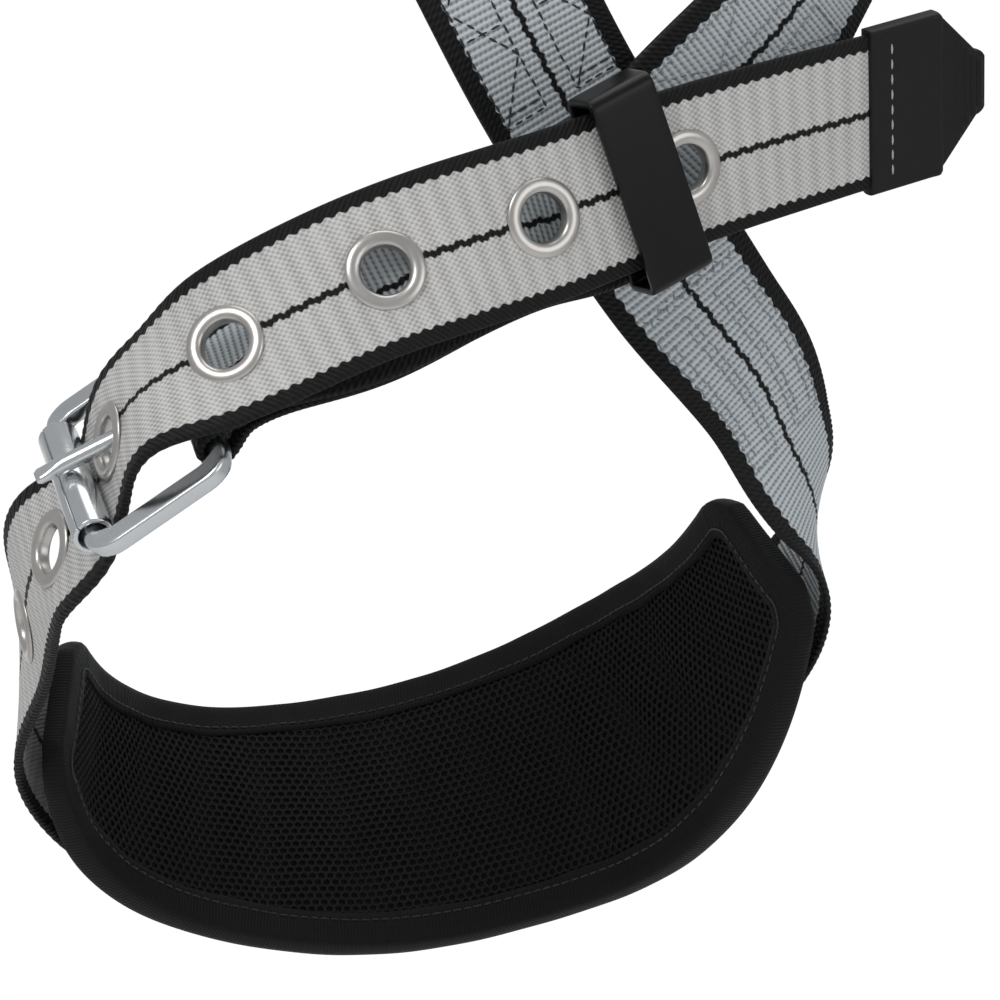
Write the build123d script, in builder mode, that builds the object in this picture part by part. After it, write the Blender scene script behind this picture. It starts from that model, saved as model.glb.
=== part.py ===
from build123d import *
import math
import os

os.makedirs("parts", exist_ok=True)

# All lengths are millimetres. The origin is the riser eye, +Z is up as the loop hangs,
# +X runs to the wearer-side right and +Y runs away from the front.

# ---- driving dimensions ----
strap_w = 45.0          # webbing width of all three straps
strap_t = 2.2           # thickness of one layer of webbing
layer_gap = 0.4         # air between two layers of one folded strap
body_gap = 0.6          # air between two neighbouring pieces

foam_t = 5.0            # foam core of the leg pad
foam_end_t = 3.0        # foam core at both ends of the pad
skin_t = 1.2            # spacer mesh face and outer cover
pad_gap = 0.3           # air between the pad's layers
bind_t = 0.8            # thickness of the grosgrain binding
bind_w = 10.0           # how far the binding reaches onto the pad

grommet_pitch = 45.6    # spacing of the seven grommets
grommet_held = 4        # the tongue sits in this one, counted from 0 at the tip
barrel_r = 6.5          # inner radius of the eyelet barrel
flange_r = barrel_r + 4.2         # outer radius of the eyelet flange
barrel_wall = 0.6
flange_t = 1.0
washer_t = 0.8

eye_r = 6.0             # bore of the two sewn strap eyes

bar_r = 3.0             # round bars of the buckle frame
frame_reach = 40.0      # back bar to front bar, centre to centre
frame_inner = strap_w + 7.0      # clear width between the side arms
arm_w = 7.0             # side arm seen from the front
arm_t = 5.0             # side arm thickness
roller_r = 5.5
roller_wall = 1.3
roller_len = strap_w + 1.0
tongue_r = 2.4          # round tongue wire
tongue_eye_w = 7.0      # width of the tongue's eye on the back bar
fold_r = bar_r + 0.4    # inside of the webbing fold round the back bar
tongue_slot = 9.0       # slot in the fold that the tongue's eye turns in

keeper_inner = strap_w + 7.6     # clear length of the keeper slot
keeper_front = 3.8      # strap centre to the slot's front face
keeper_back = 5.0       # strap centre to the slot's back face
keeper_wall = 2.4
keeper_w = 20.0         # keeper size along the strap
keeper_skew = -9.0      # the loose keeper sits askew by this angle

tip_w = strap_w + 3.0
tip_t = 6.0
tip_body = 24.0         # full-width length of the moulded tip
tip_len = 41.0          # whole length of the moulded tip
tip_end_w = 18.0

flex_at = 36.0          # the tail bends here, from the strap end inside the tip
flex_gap = 1.2


# ---- helpers: a smooth route with a width direction, and lofted bands along it ----
def second_slopes(at, values):
    count = len(at)
    gap = [at[i + 1] - at[i] for i in range(count - 1)]
    bend = [0.0] * count
    ratio = [0.0] * count
    for i in range(1, count - 1):
        jump = (values[i + 1] - values[i]) / gap[i] - (values[i] - values[i - 1]) / gap[i - 1]
        low = 2 * (gap[i - 1] + gap[i]) - gap[i - 1] * ratio[i - 1]
        ratio[i] = gap[i] / low
        bend[i] = (6 * jump - gap[i - 1] * bend[i - 1]) / low
    for i in range(count - 2, 0, -1):
        bend[i] = bend[i] - ratio[i] * bend[i + 1]
    return bend


def spaced(start, end, step):
    count = max(2, int(abs(end - start) / step) + 1)
    return [start + (end - start) * i / (count - 1) for i in range(count)]


class Route:
    """A natural cubic spline through stations (x, y, z, width direction, optional width)."""

    def __init__(self, stations, face=1.0):
        self.face = face
        self.rows = [[float(v) for v in row] for row in stations]
        self.at = [0.0]
        for one, two in zip(self.rows, self.rows[1:]):
            self.at.append(self.at[-1] + math.dist(one[:3], two[:3]))
        self.bends = [second_slopes(self.at, column) for column in zip(*self.rows)]
        self.grid = [self.at[-1] * i / 1000 for i in range(1001)]
        self.along = [0.0]
        last = self.raw(0.0)
        for q in self.grid[1:]:
            here = self.raw(q)
            self.along.append(self.along[-1] + math.dist(last[:3], here[:3]))
            last = here
        self.length = self.along[-1]

    def raw(self, q):
        q = min(max(q, 0.0), self.at[-1])
        i = 0
        while i < len(self.at) - 2 and self.at[i + 1] < q:
            i += 1
        gap = self.at[i + 1] - self.at[i]
        a = (self.at[i + 1] - q) / gap
        b = (q - self.at[i]) / gap
        one, two = self.rows[i], self.rows[i + 1]
        return [
            a * one[k] + b * two[k]
            + ((a**3 - a) * bend[i] + (b**3 - b) * bend[i + 1]) * gap * gap / 6
            for k, bend in enumerate(self.bends)
        ]

    def param(self, s):
        s = min(max(s, 0.0), self.length)
        i = 0
        while i < 999 and self.along[i + 1] < s:
            i += 1
        share = (s - self.along[i]) / (self.along[i + 1] - self.along[i])
        return self.grid[i] + share * (self.grid[i + 1] - self.grid[i])

    def frame(self, s):
        q = self.param(s)
        here = self.raw(q)
        run = Vector(*self.raw(q + 0.05)[:3]) - Vector(*self.raw(q - 0.05)[:3])
        run = run.normalized()
        side = Vector(*here[3:6])
        side = (side - run * side.dot(run)).normalized()
        return Vector(*here[:3]), run, side, run.cross(side) * self.face

    def along_station(self, index):
        """Distance along the route at one of its stations."""
        low = min(range(1001), key=lambda i: abs(self.grid[i] - self.at[index]))
        return self.along[low]

    def size(self, s):
        return self.raw(self.param(s))[6]

    def point(self, s, lift=0.0, across=0.0):
        centre, run, side, normal = self.frame(s)
        return centre + normal * lift + side * across

    def plane(self, s, lift=0.0, across=0.0):
        """Section plane: local X across the band, local Y along its normal."""
        centre, run, side, normal = self.frame(s)
        return Plane(origin=centre + normal * lift + side * across, x_dir=side, z_dir=run)

    def face_plane(self, s, lift=0.0, across=0.0, turn=0.0):
        """Plane lying on the band: local X along the band, local Z along its normal."""
        centre, run, side, normal = self.frame(s)
        lean = math.radians(turn)
        along = run * math.cos(lean) + side * math.sin(lean)
        return Plane(origin=centre + normal * lift + side * across, x_dir=along, z_dir=normal)

    def station(self, s, lift=0.0, across=0.0, flip=1.0):
        centre, run, side, normal = self.frame(s)
        spot = centre + normal * lift + side * across
        return (spot.X, spot.Y, spot.Z, side.X * flip, side.Y * flip, side.Z * flip)


def band(route, start, end, width, thick, lift=0.0, across=0.0, step=11.0):
    """Sections of a flat band along a route."""
    return [route.plane(s, lift, across) * Rectangle(width, thick) for s in spaced(start, end, step)]


# ---- the buckle's own axes: the bars, the arms and the outward normal ----
bar_dir = Vector(0.291, -0.766, -0.571).normalized()
arm_dir = Vector(0.822, -0.104, 0.559)
arm_dir = (arm_dir - bar_dir * arm_dir.dot(bar_dir)).normalized()
out_dir = bar_dir.cross(arm_dir)
back_bar = Vector(-62.5, -14.0, -160.0)


def by_buckle(arm, out, bar=0.0):
    return back_bar + arm_dir * arm + out_dir * out + bar_dir * bar


def buckle_station(arm, out, bar=0.0):
    spot = by_buckle(arm, out, bar)
    return (spot.X, spot.Y, spot.Z, -bar_dir.X, -bar_dir.Y, -bar_dir.Z)


# ---- routes ----
# leg pad, from its left end round the back to its right end, with the width at each station
pad = Route([
    (-108, 84, -243, 0.00, 0.51, 0.86, 50),
    (-99, 112, -266, 0.03, 0.60, 0.80, 64),
    (-73, 140, -281, 0.00, 0.62, 0.78, 77),
    (-41, 152, -284, -0.06, 0.58, 0.81, 86),
    (-11, 154, -281, -0.10, 0.50, 0.86, 88),
    (23, 144, -271, -0.15, 0.40, 0.90, 88),
    (55, 122, -255, -0.20, 0.36, 0.91, 88),
    (78, 90, -230, -0.28, 0.42, 0.86, 74),
    (90, 62, -199, -0.42, 0.48, 0.77, 50),
])
outer_face = 2 * skin_t + 2 * pad_gap + foam_t
on_pad = -(outer_face + pad_gap + bind_t + body_gap + strap_t / 2)
over_pad_strap = on_pad - strap_t - 1.2

# riser strap, from its eye down behind the crossing and round the outside of the pad
# wider or thicker straps need more room where they cross behind the buckle strap
cross_room = 0.5 * (strap_w - 45.0) + 2.5 * (strap_t - 2.2)
riser = Route([
    (0, 0, 0, -1.00, 0.00, 0.00),
    (3, 1, -18, -0.98, 0.00, -0.20),
    (10, 2, -33, -0.88, 0.00, -0.48),
    (21, 5, -54, -0.86, 0.00, -0.51),
    (34, 17 + cross_room, -77, -0.86, 0.00, -0.52),
    (60, 29 + cross_room, -116, -0.82, 0.00, -0.57),
    (69, 34 + cross_room, -128, -0.80, -0.14, -0.58),
    (79, 39, -140, -0.74, -0.32, -0.59),
    (90, 48, -154, -0.66, -0.45, -0.60),
    (98, 57, -170, -0.54, -0.57, -0.62),
    (106, 70, -188, -0.18, -0.56, -0.81),
    pad.station(pad.length - 14, on_pad - 10, 0, -1)[:3] + (0.12, -0.52, -0.85),
    pad.station(pad.length - 46, on_pad - 5, 0, -1)[:3] + (0.20, -0.45, -0.87),
    pad.station(pad.length - 76, on_pad - 1.2, 0, -1),
    *[pad.station(s, on_pad, 0, -1) for s in spaced(pad.length - 104, 28, 26)],
], face=-1)

# tongue strap, from the end inside the tip, through the buckle, to the outside of the pad
tongue = Route([
    (120, 28, -79, -0.09, -0.46, 0.88),
    (96, 15, -87, -0.11, -0.42, 0.90),
    (64, 0, -98, -0.15, -0.34, 0.92),
    (25, -20, -113, -0.22, -0.14, 0.96),
    (-16, -33, -128, -0.32, 0.15, 0.93),
    (-58, -32, -148, -0.48, 0.43, 0.76),
    buckle_station(-10, 14.5, 3.5),
    buckle_station(-0.62 * frame_reach, 5.3, 0),
    buckle_station(-frame_reach, -9.8, -2),
    (-106, 17, -201, -0.37, 0.70, 0.60),
    (-116, 55, -223, -0.28, 0.66, 0.70),
    *[pad.station(s, over_pad_strap, 0, 1) for s in (8, 30, 54, 78)],
], face=-1)

# buckle strap, from the back bar behind the tongue strap and up to the second eye
anchor = Route([
    buckle_station(0, 0, 0),
    buckle_station(14, 1, 0.5),
    (-18, -22, -134, -0.36, 0.20, 0.91),
    (24, -6, -113, -0.36, -0.05, 0.93),
    (49, 12.5, -103, -0.36, -0.20, 0.91),
    (64, 17, -87, -0.52, -0.28, 0.80),
    (79, 21, -71, -0.66, -0.38, 0.64),
    (93, 26, -56, -0.72, -0.50, 0.47),
    (104, 34, -39, -0.68, -0.68, 0.27),
    (114, 47, -17, -0.65, -0.75, 0.08),
    (118, 53, 0, -0.643, -0.766, 0.00),
])

held_station = 7
held_at = tongue.along_station(held_station)
grommets = [held_at + grommet_pitch * (i - grommet_held) for i in range(7)]
keeper_at = grommets[0] + 13.7


# ================= leg pad =================
def foam_depth(s):
    """Foam thickness: thin at both ends, full within 60 mm of them."""
    edge = min(s, pad.length - s, 60.0) / 60.0
    return foam_end_t + (foam_t - foam_end_t) * math.sin(edge * math.pi / 2)


def pad_sections(near, far, inset, start, end):
    """Sections between two depths; far is measured past the foam when negative."""
    faces = []
    for s in spaced(start, end, 13.0):
        deep = near + (foam_depth(s) if far > 0 else 0.0)
        thick = abs(far) if far > 0 else foam_depth(s)
        plane = pad.plane(s, -(deep + thick / 2))
        faces.append(plane * Rectangle(pad.size(s) - 2 * inset, thick))
    return faces


mesh_sections = [
    pad.plane(s, -skin_t / 2) * Rectangle(pad.size(s) - 2, skin_t)
    for s in spaced(1, pad.length - 1, 13.0)
]
foam_sections = pad_sections(skin_t + pad_gap, -1, 1.5, 1.5, pad.length - 1.5)
cover_sections = pad_sections(skin_t + 2 * pad_gap, skin_t, 1, 1, pad.length - 1)

with BuildPart() as mesh_face:
    loft(sections=mesh_sections)

with BuildPart() as pad_foam:
    loft(sections=foam_sections)

with BuildPart() as outer_cover:
    loft(sections=cover_sections)


def binding_section(s, sign):
    """C-shaped section that wraps one long edge of the pad."""
    half = pad.size(s) / 2
    top = pad_gap
    low = -(2 * skin_t + 3 * pad_gap + foam_depth(s))
    outline = Polyline(
        (sign * (half - bind_w), top),
        (sign * (half - 0.4), top),
        (sign * (half - 0.4), low),
        (sign * (half - bind_w), low),
        (sign * (half - bind_w), low - bind_t),
        (sign * (half + bind_t), low - bind_t),
        (sign * (half + bind_t), top + bind_t),
        (sign * (half - bind_w), top + bind_t),
        close=True,
    )
    return pad.plane(s) * make_face(outline)


def end_block(stops, grow, depth_grow):
    """Sections of a block round one end of the pad."""
    faces = []
    for s in stops:
        deep = 2 * skin_t + 2 * pad_gap + foam_depth(s)
        plane = pad.plane(s, -deep / 2)
        faces.append(plane * Rectangle(pad.size(s) + 2 * grow, deep + 2 * depth_grow))
    return faces


end_stops = [
    ([0, 5, bind_w - 1], [0.8, 5, bind_w]),
    (
        [pad.length - bind_w + 1, pad.length - 5, pad.length],
        [pad.length - bind_w, pad.length - 5, pad.length - 0.8],
    ),
]
edge_runs = [
    [binding_section(s, sign) for s in spaced(bind_w - 1.5, pad.length - bind_w + 1.5, 13.0)]
    for sign in (1, -1)
]
end_outer = [end_block(outer, bind_t, pad_gap + bind_t) for outer, inner in end_stops]
end_inner = [end_block(inner, -0.4, pad_gap) for outer, inner in end_stops]

with BuildPart() as binding:
    for run in edge_runs:
        loft(sections=run)
    for outer, inner in zip(end_outer, end_inner):
        loft(sections=outer)
        loft(sections=inner, mode=Mode.SUBTRACT)


# ================= straps =================
eye_out = eye_r + strap_t
eye_top = eye_r + 0.6   # both layers start this far from the middle of an eye
eye_cut = 26.0          # each sewn eye is a node of its own down to here
fold_end = 92.0         # the riser eye's folded-back layer is sewn down to here
fold_in = strap_t + layer_gap

riser_eye = Plane(origin=(0, 0, 0), x_dir=(0, 1, 0), z_dir=(1, 0, 0))
riser_eye_main = band(riser, eye_top, eye_cut, strap_w, strap_t)
riser_eye_fold = band(riser, eye_top, eye_cut, strap_w - 0.6, strap_t, fold_in)
riser_main = band(riser, eye_cut, riser.length, strap_w, strap_t)
riser_fold = band(riser, eye_cut, fold_end, strap_w - 0.6, strap_t, fold_in)


def eye_loop(plane, layers):
    """A sewn eye: a ring of webbing with the start of its two layers."""
    with BuildPart() as piece:
        for layer in layers:
            loft(sections=layer)
        with BuildSketch(plane):
            Circle(eye_out)
        extrude(amount=strap_w / 2, both=True)
        with BuildSketch(plane):
            Circle(eye_r)
        extrude(amount=strap_w, both=True, mode=Mode.SUBTRACT)
    return piece.part


riser_eye_loop = eye_loop(riser_eye, [riser_eye_main, riser_eye_fold])

with BuildPart() as thigh_strap:
    loft(sections=riser_main)
    loft(sections=riser_fold)

tongue_main = band(tongue, flex_at + flex_gap / 2, tongue.length, strap_w, strap_t)
tail_main = band(tongue, 0, flex_at - flex_gap / 2, strap_w, strap_t)
hole_r = barrel_r + barrel_wall + 0.2

with BuildPart() as tongue_strap:
    loft(sections=tongue_main)
    for s in grommets:
        with BuildSketch(tongue.face_plane(s)):
            Circle(hole_r)
        extrude(amount=strap_t, both=True, mode=Mode.SUBTRACT)

with BuildPart() as strap_tail:
    loft(sections=tail_main)

fold_out = fold_r + strap_t
fold_lift = (strap_t + layer_gap) / 2
fold_plane = Plane(origin=back_bar, x_dir=arm_dir, z_dir=bar_dir)
anchor_cut = anchor.length - eye_cut
anchor_top = anchor.length - eye_top
anchor_front = band(anchor, fold_r + 0.2, anchor_cut, strap_w, strap_t, fold_lift)
anchor_back = band(anchor, fold_r + 0.2, 118.0, strap_w, strap_t, -fold_lift)
anchor_fold = band(anchor, 158.0, anchor_cut, strap_w - 0.6, strap_t, -fold_lift)
anchor_eye_main = band(anchor, anchor_cut, anchor_top, strap_w, strap_t, fold_lift)
anchor_eye_fold = band(anchor, anchor_cut, anchor_top, strap_w - 0.6, strap_t, -fold_lift)
eye_frame = anchor.frame(anchor.length)
anchor_eye = Plane(
    origin=eye_frame[0] + eye_frame[3] * fold_lift, x_dir=(0, 0, 1), z_dir=eye_frame[2]
)

anchor_eye_loop = eye_loop(anchor_eye, [anchor_eye_main, anchor_eye_fold])

with BuildPart() as buckle_strap:
    loft(sections=anchor_front)
    loft(sections=anchor_back)
    loft(sections=anchor_fold)
    with BuildSketch(fold_plane):
        Circle(fold_out)
    extrude(amount=strap_w / 2, both=True)
    with BuildSketch(fold_plane):
        Circle(fold_r)
    extrude(amount=strap_w, both=True, mode=Mode.SUBTRACT)
    with BuildSketch(fold_plane):
        with Locations((-2.0, 0)):
            Rectangle(17, 16)
    extrude(amount=tongue_slot / 2, both=True, mode=Mode.SUBTRACT)


# ================= grommets =================
def eyelet_solid(s):
    """Flange on the front face of the strap with a barrel through it."""
    with BuildPart() as piece:
        with BuildSketch(tongue.face_plane(s, strap_t / 2)):
            Circle(flange_r)
            Circle(barrel_r, mode=Mode.SUBTRACT)
        extrude(amount=flange_t)
        chamfer(piece.edges().filter_by(GeomType.CIRCLE).sort_by(SortBy.RADIUS)[-1], 0.4)
        with BuildSketch(tongue.face_plane(s, -strap_t / 2 - washer_t - 0.3)):
            Circle(barrel_r + barrel_wall)
            Circle(barrel_r, mode=Mode.SUBTRACT)
        extrude(amount=strap_t + washer_t + 0.5)
    return piece.part


def washer_solid(s):
    """Flat washer that the barrel is set against on the back face."""
    with BuildPart() as piece:
        with BuildSketch(tongue.face_plane(s, -strap_t / 2 - washer_t)):
            Circle(flange_r - 0.6)
            Circle(barrel_r + barrel_wall + 0.1, mode=Mode.SUBTRACT)
        extrude(amount=washer_t)
    return piece.part


eyelets = [eyelet_solid(s) for s in grommets]
washers = [washer_solid(s) for s in grommets]


# ================= buckle =================
buckle_plane = Plane(origin=by_buckle(-frame_reach / 2, 0), x_dir=arm_dir, z_dir=out_dir)
front_bar_plane = Plane(origin=by_buckle(-frame_reach, 0), x_dir=arm_dir, z_dir=bar_dir)
back_bar_plane = Plane(origin=back_bar, x_dir=arm_dir, z_dir=bar_dir)
arm_centre = frame_inner / 2 + arm_w / 2

with BuildPart() as buckle_frame:
    with BuildSketch(buckle_plane.offset(-arm_t / 2)):
        RectangleRounded(frame_reach + 14, frame_inner + 2 * arm_w, 9)
        RectangleRounded(frame_reach - 6, frame_inner, 2, mode=Mode.SUBTRACT)
    extrude(amount=arm_t)
    for end in (-1, 1):
        with BuildSketch(buckle_plane.offset(-arm_t)):
            with Locations((end * (frame_reach / 2 + 3), 0)):
                Rectangle(20, frame_inner)
        extrude(amount=2 * arm_t, mode=Mode.SUBTRACT)
    for plane in (front_bar_plane, back_bar_plane):
        with BuildSketch(plane):
            Circle(bar_r)
        extrude(amount=frame_inner / 2 + 2, both=True)

with BuildPart() as buckle_roller:
    with BuildSketch(front_bar_plane):
        Circle(roller_r)
        Circle(roller_r - roller_wall, mode=Mode.SUBTRACT)
    extrude(amount=roller_len / 2, both=True)

rest_out = roller_r + tongue_r + 0.3
tongue_root = by_buckle(-3.2, 2.0)
tongue_tip = by_buckle(-frame_reach - 6.5, rest_out + 1.3)
tongue_run = (tongue_tip - tongue_root).normalized()

with BuildPart() as buckle_tongue:
    with BuildSketch(back_bar_plane):
        Circle(bar_r + 0.2 + 2.1)
    extrude(amount=tongue_eye_w / 2, both=True)
    with BuildSketch(Plane(origin=tongue_root, x_dir=bar_dir, z_dir=tongue_run)):
        Circle(tongue_r)
    extrude(amount=(tongue_tip - tongue_root).length)
    with BuildSketch(back_bar_plane):
        Circle(bar_r + 0.2)
    extrude(amount=tongue_eye_w, both=True, mode=Mode.SUBTRACT)

# ================= keeper =================
keeper_mid = (keeper_front - keeper_back) / 2
keeper_deep = keeper_front + keeper_back
keeper_face = tongue.face_plane(keeper_at, keeper_mid, 0, keeper_skew)
keeper_run = keeper_face.x_dir
keeper_section = Plane(
    origin=keeper_face.origin - keeper_run * keeper_w / 2, x_dir=keeper_face.y_dir, z_dir=keeper_run
)

with BuildPart() as keeper:
    with BuildSketch(keeper_section):
        RectangleRounded(keeper_inner + 2 * keeper_wall, keeper_deep + 2 * keeper_wall, 2.0)
        RectangleRounded(keeper_inner, keeper_deep, 0.6, mode=Mode.SUBTRACT)
    extrude(amount=keeper_w)

# ================= moulded tip =================
tip_centre, tip_run, tip_side, tip_normal = tongue.frame(0.0)
tip_out = tip_run * -1
tip_plane = Plane(origin=tip_centre - tip_out * 3.0, x_dir=tip_out, z_dir=tip_normal)
tip_half = tip_w / 2
strap_pocket = Plane(origin=tip_centre - tip_out * 4.0, x_dir=tip_side, z_dir=tip_out)

with BuildPart() as strap_tip:
    with BuildSketch(tip_plane.offset(-tip_t / 2)):
        Polygon(
            (0, -tip_half), (tip_body, -tip_half), (tip_len - 3, -tip_end_w / 2),
            (tip_len, -tip_end_w / 2 + 4), (tip_len, tip_end_w / 2 - 4),
            (tip_len - 3, tip_end_w / 2), (tip_body, tip_half), (0, tip_half),
            align=None,
        )
    extrude(amount=tip_t)
    with BuildSketch(tip_plane.offset(tip_t / 2 - 1.2)):
        with Locations(((tip_body + tip_len) / 2 + 1, 0)):
            Rectangle(tip_len - tip_body + 4, tip_w + 2)
    extrude(amount=2, mode=Mode.SUBTRACT)
    for rib in range(4):
        with BuildSketch(tip_plane.offset(tip_t / 2 - 1.3)):
            with Locations((tip_len - 10 + 2.4 * rib, 0)):
                Rectangle(1.1, tip_end_w - 6)
        extrude(amount=1.1)
    with BuildSketch(strap_pocket):
        Rectangle(strap_w + 0.8, strap_t + 0.8)
    extrude(amount=4.6, mode=Mode.SUBTRACT)

# ================= stitching =================
thread_w = 1.0
thread_t = 0.5


def seam(route, lift, start, end, across, step=9.0):
    """Sections of one thread run lying on a band."""
    return band(route, start, end, thread_w, thread_t, lift, across, step)


def bar_tack(route, lift, s, reach, across=0.0):
    """One thread run across the band."""
    plane = route.face_plane(s, lift, across)
    return plane * Box(thread_w, reach, thread_t)


riser_top = 1.5 * strap_t + layer_gap + thread_t / 2 + 0.35
eye_seams = [
    seam(riser, riser_top, 16, fold_end - 3, side * (strap_w / 2 - 7)) for side in (-1, 1)
]
eye_tacks = [bar_tack(riser, riser_top, s, strap_w - 18) for s in (18, 58, 62, 86)]

on_riser = strap_t / 2 + thread_t / 2 + 0.35
box_start = 152.0
box_end = 205.0
thigh_seams = [seam(riser, on_riser, box_start, box_end, across) for across in (-14, -5, 5, 14)]
thigh_tacks = [bar_tack(riser, on_riser, s, strap_w - 14) for s in (box_start - 3, box_end + 3)]

on_anchor = fold_lift + strap_t / 2 + thread_t / 2 + 0.1
anchor_seams = [seam(anchor, on_anchor, 160, 212, across) for across in (-13, -4, 4, 13)]
anchor_tacks = [bar_tack(anchor, on_anchor, s, strap_w - 16) for s in (156, 216)]

on_tongue = strap_t / 2 + thread_t / 2 + 0.1
pad_end_seams = [
    seam(tongue, on_tongue, tongue.length - 62, tongue.length - 4, side * (strap_w / 2 - 5))
    for side in (-1, 1)
]
pad_end_tacks = [
    bar_tack(tongue, on_tongue, tongue.length - gap, strap_w - 14) for gap in (4, 33, 62)
]

tip_thread = Plane(
    origin=tip_plane.origin + tip_out * 7.0 + tip_normal * (tip_t / 2 + 0.35),
    x_dir=tip_out,
    z_dir=tip_normal,
)
tip_stitches = [
    tip_thread * Pos(0, (i - 3.5) * 4.8) * Box(0.9, 3.4, thread_t) for i in range(8)
]


def sewn(runs, tacks):
    with BuildPart() as piece:
        for run in runs:
            loft(sections=run)
        for tack in tacks:
            add(tack)
    return piece.part


stitch_riser_eye = sewn(eye_seams, eye_tacks)
stitch_thigh_box = sewn(thigh_seams, thigh_tacks)
stitch_anchor_box = sewn(anchor_seams, anchor_tacks)
stitch_pad_end = sewn(pad_end_seams, pad_end_tacks)

with BuildPart() as stitch_tip:
    for stitch in tip_stitches:
        add(stitch)

# ================= export =================
pieces = {
    "leg_pad_mesh_face": mesh_face.part,
    "leg_pad_foam": pad_foam.part,
    "leg_pad_outer_cover": outer_cover.part,
    "leg_pad_binding": binding.part,
    "riser_eye_loop": riser_eye_loop,
    "thigh_strap": thigh_strap.part,
    "tongue_strap": tongue_strap.part,
    "tongue_strap_tail": strap_tail.part,
    "buckle_strap": buckle_strap.part,
    "anchor_eye_loop": anchor_eye_loop,
    "buckle_frame": buckle_frame.part,
    "buckle_roller": buckle_roller.part,
    "buckle_tongue": buckle_tongue.part,
    "keeper": keeper.part,
    "strap_tip": strap_tip.part,
    "stitch_riser_eye": stitch_riser_eye,
    "stitch_thigh_box": stitch_thigh_box,
    "stitch_anchor_box": stitch_anchor_box,
    "stitch_pad_end": stitch_pad_end,
    "stitch_tip": stitch_tip.part,
}
for i, (eyelet, washer) in enumerate(zip(eyelets, washers), start=1):
    pieces[f"eyelet_{i}"] = eyelet
    pieces[f"washer_{i}"] = washer

for name, solid in pieces.items():
    solid.label = name
    export_step(solid, f"parts/{name}.step")
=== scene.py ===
"""Looks of a harness leg loop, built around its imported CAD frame.

Shapes are worked out in millimetres, as the CAD is, and written to meshes in metres.
A strap point is given by its distance along the strap and its place across it; every soft
piece keeps both in the attribute "lay", which the weave patterns read.
"""

import math

import bmesh
import bpy
import numpy as np
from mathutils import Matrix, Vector


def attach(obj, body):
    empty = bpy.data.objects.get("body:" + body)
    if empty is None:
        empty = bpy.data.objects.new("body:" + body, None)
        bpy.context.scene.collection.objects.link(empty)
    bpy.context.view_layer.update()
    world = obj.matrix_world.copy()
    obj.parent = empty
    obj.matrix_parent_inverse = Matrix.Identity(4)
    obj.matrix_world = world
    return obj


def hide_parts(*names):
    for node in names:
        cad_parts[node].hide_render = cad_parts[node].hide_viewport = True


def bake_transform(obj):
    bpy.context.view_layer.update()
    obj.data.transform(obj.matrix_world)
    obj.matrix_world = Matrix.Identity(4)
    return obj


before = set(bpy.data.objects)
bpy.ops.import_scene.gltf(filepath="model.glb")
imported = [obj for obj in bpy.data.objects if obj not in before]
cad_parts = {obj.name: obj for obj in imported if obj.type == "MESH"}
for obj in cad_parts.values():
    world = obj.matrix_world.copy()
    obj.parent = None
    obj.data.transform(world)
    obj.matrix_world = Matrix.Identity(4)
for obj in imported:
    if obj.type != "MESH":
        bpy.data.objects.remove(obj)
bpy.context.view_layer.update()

MM = 0.001
TAU = 2 * math.pi

# ---- sizes shared with the CAD, in millimetres ----
STRAP_W, STRAP_T = 45.0, 2.2
FOLD_IN = 2.6           # from the middle of one folded layer to the next
EYE_MID = 7.1           # middle of the webbing in a sewn eye
BAR_MID = 4.5           # middle of the webbing round the buckle's back bar
FOLD_END = 92.0         # riser fold
PITCH, HELD = 45.6, 4   # grommets
SKIN_T, PAD_GAP, FOAM_T, FOAM_END_T = 1.2, 0.3, 5.0, 3.0
REACH = 40.0            # back bar to front bar


# ---- routes ----
def unit(v):
    return v / np.linalg.norm(v, axis=-1, keepdims=True)


def smooth(x):
    x = np.clip(x, 0, 1)
    return x * x * (3 - 2 * x)


def second_slopes(at, values):
    count = len(at)
    gap = np.diff(at)
    bend, ratio = np.zeros(count), np.zeros(count)
    for i in range(1, count - 1):
        jump = (values[i + 1] - values[i]) / gap[i] - (values[i] - values[i - 1]) / gap[i - 1]
        low = 2 * (gap[i - 1] + gap[i]) - gap[i - 1] * ratio[i - 1]
        ratio[i] = gap[i] / low
        bend[i] = (6 * jump - gap[i - 1] * bend[i - 1]) / low
    for i in range(count - 2, 0, -1):
        bend[i] -= ratio[i] * bend[i + 1]
    return bend


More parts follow.
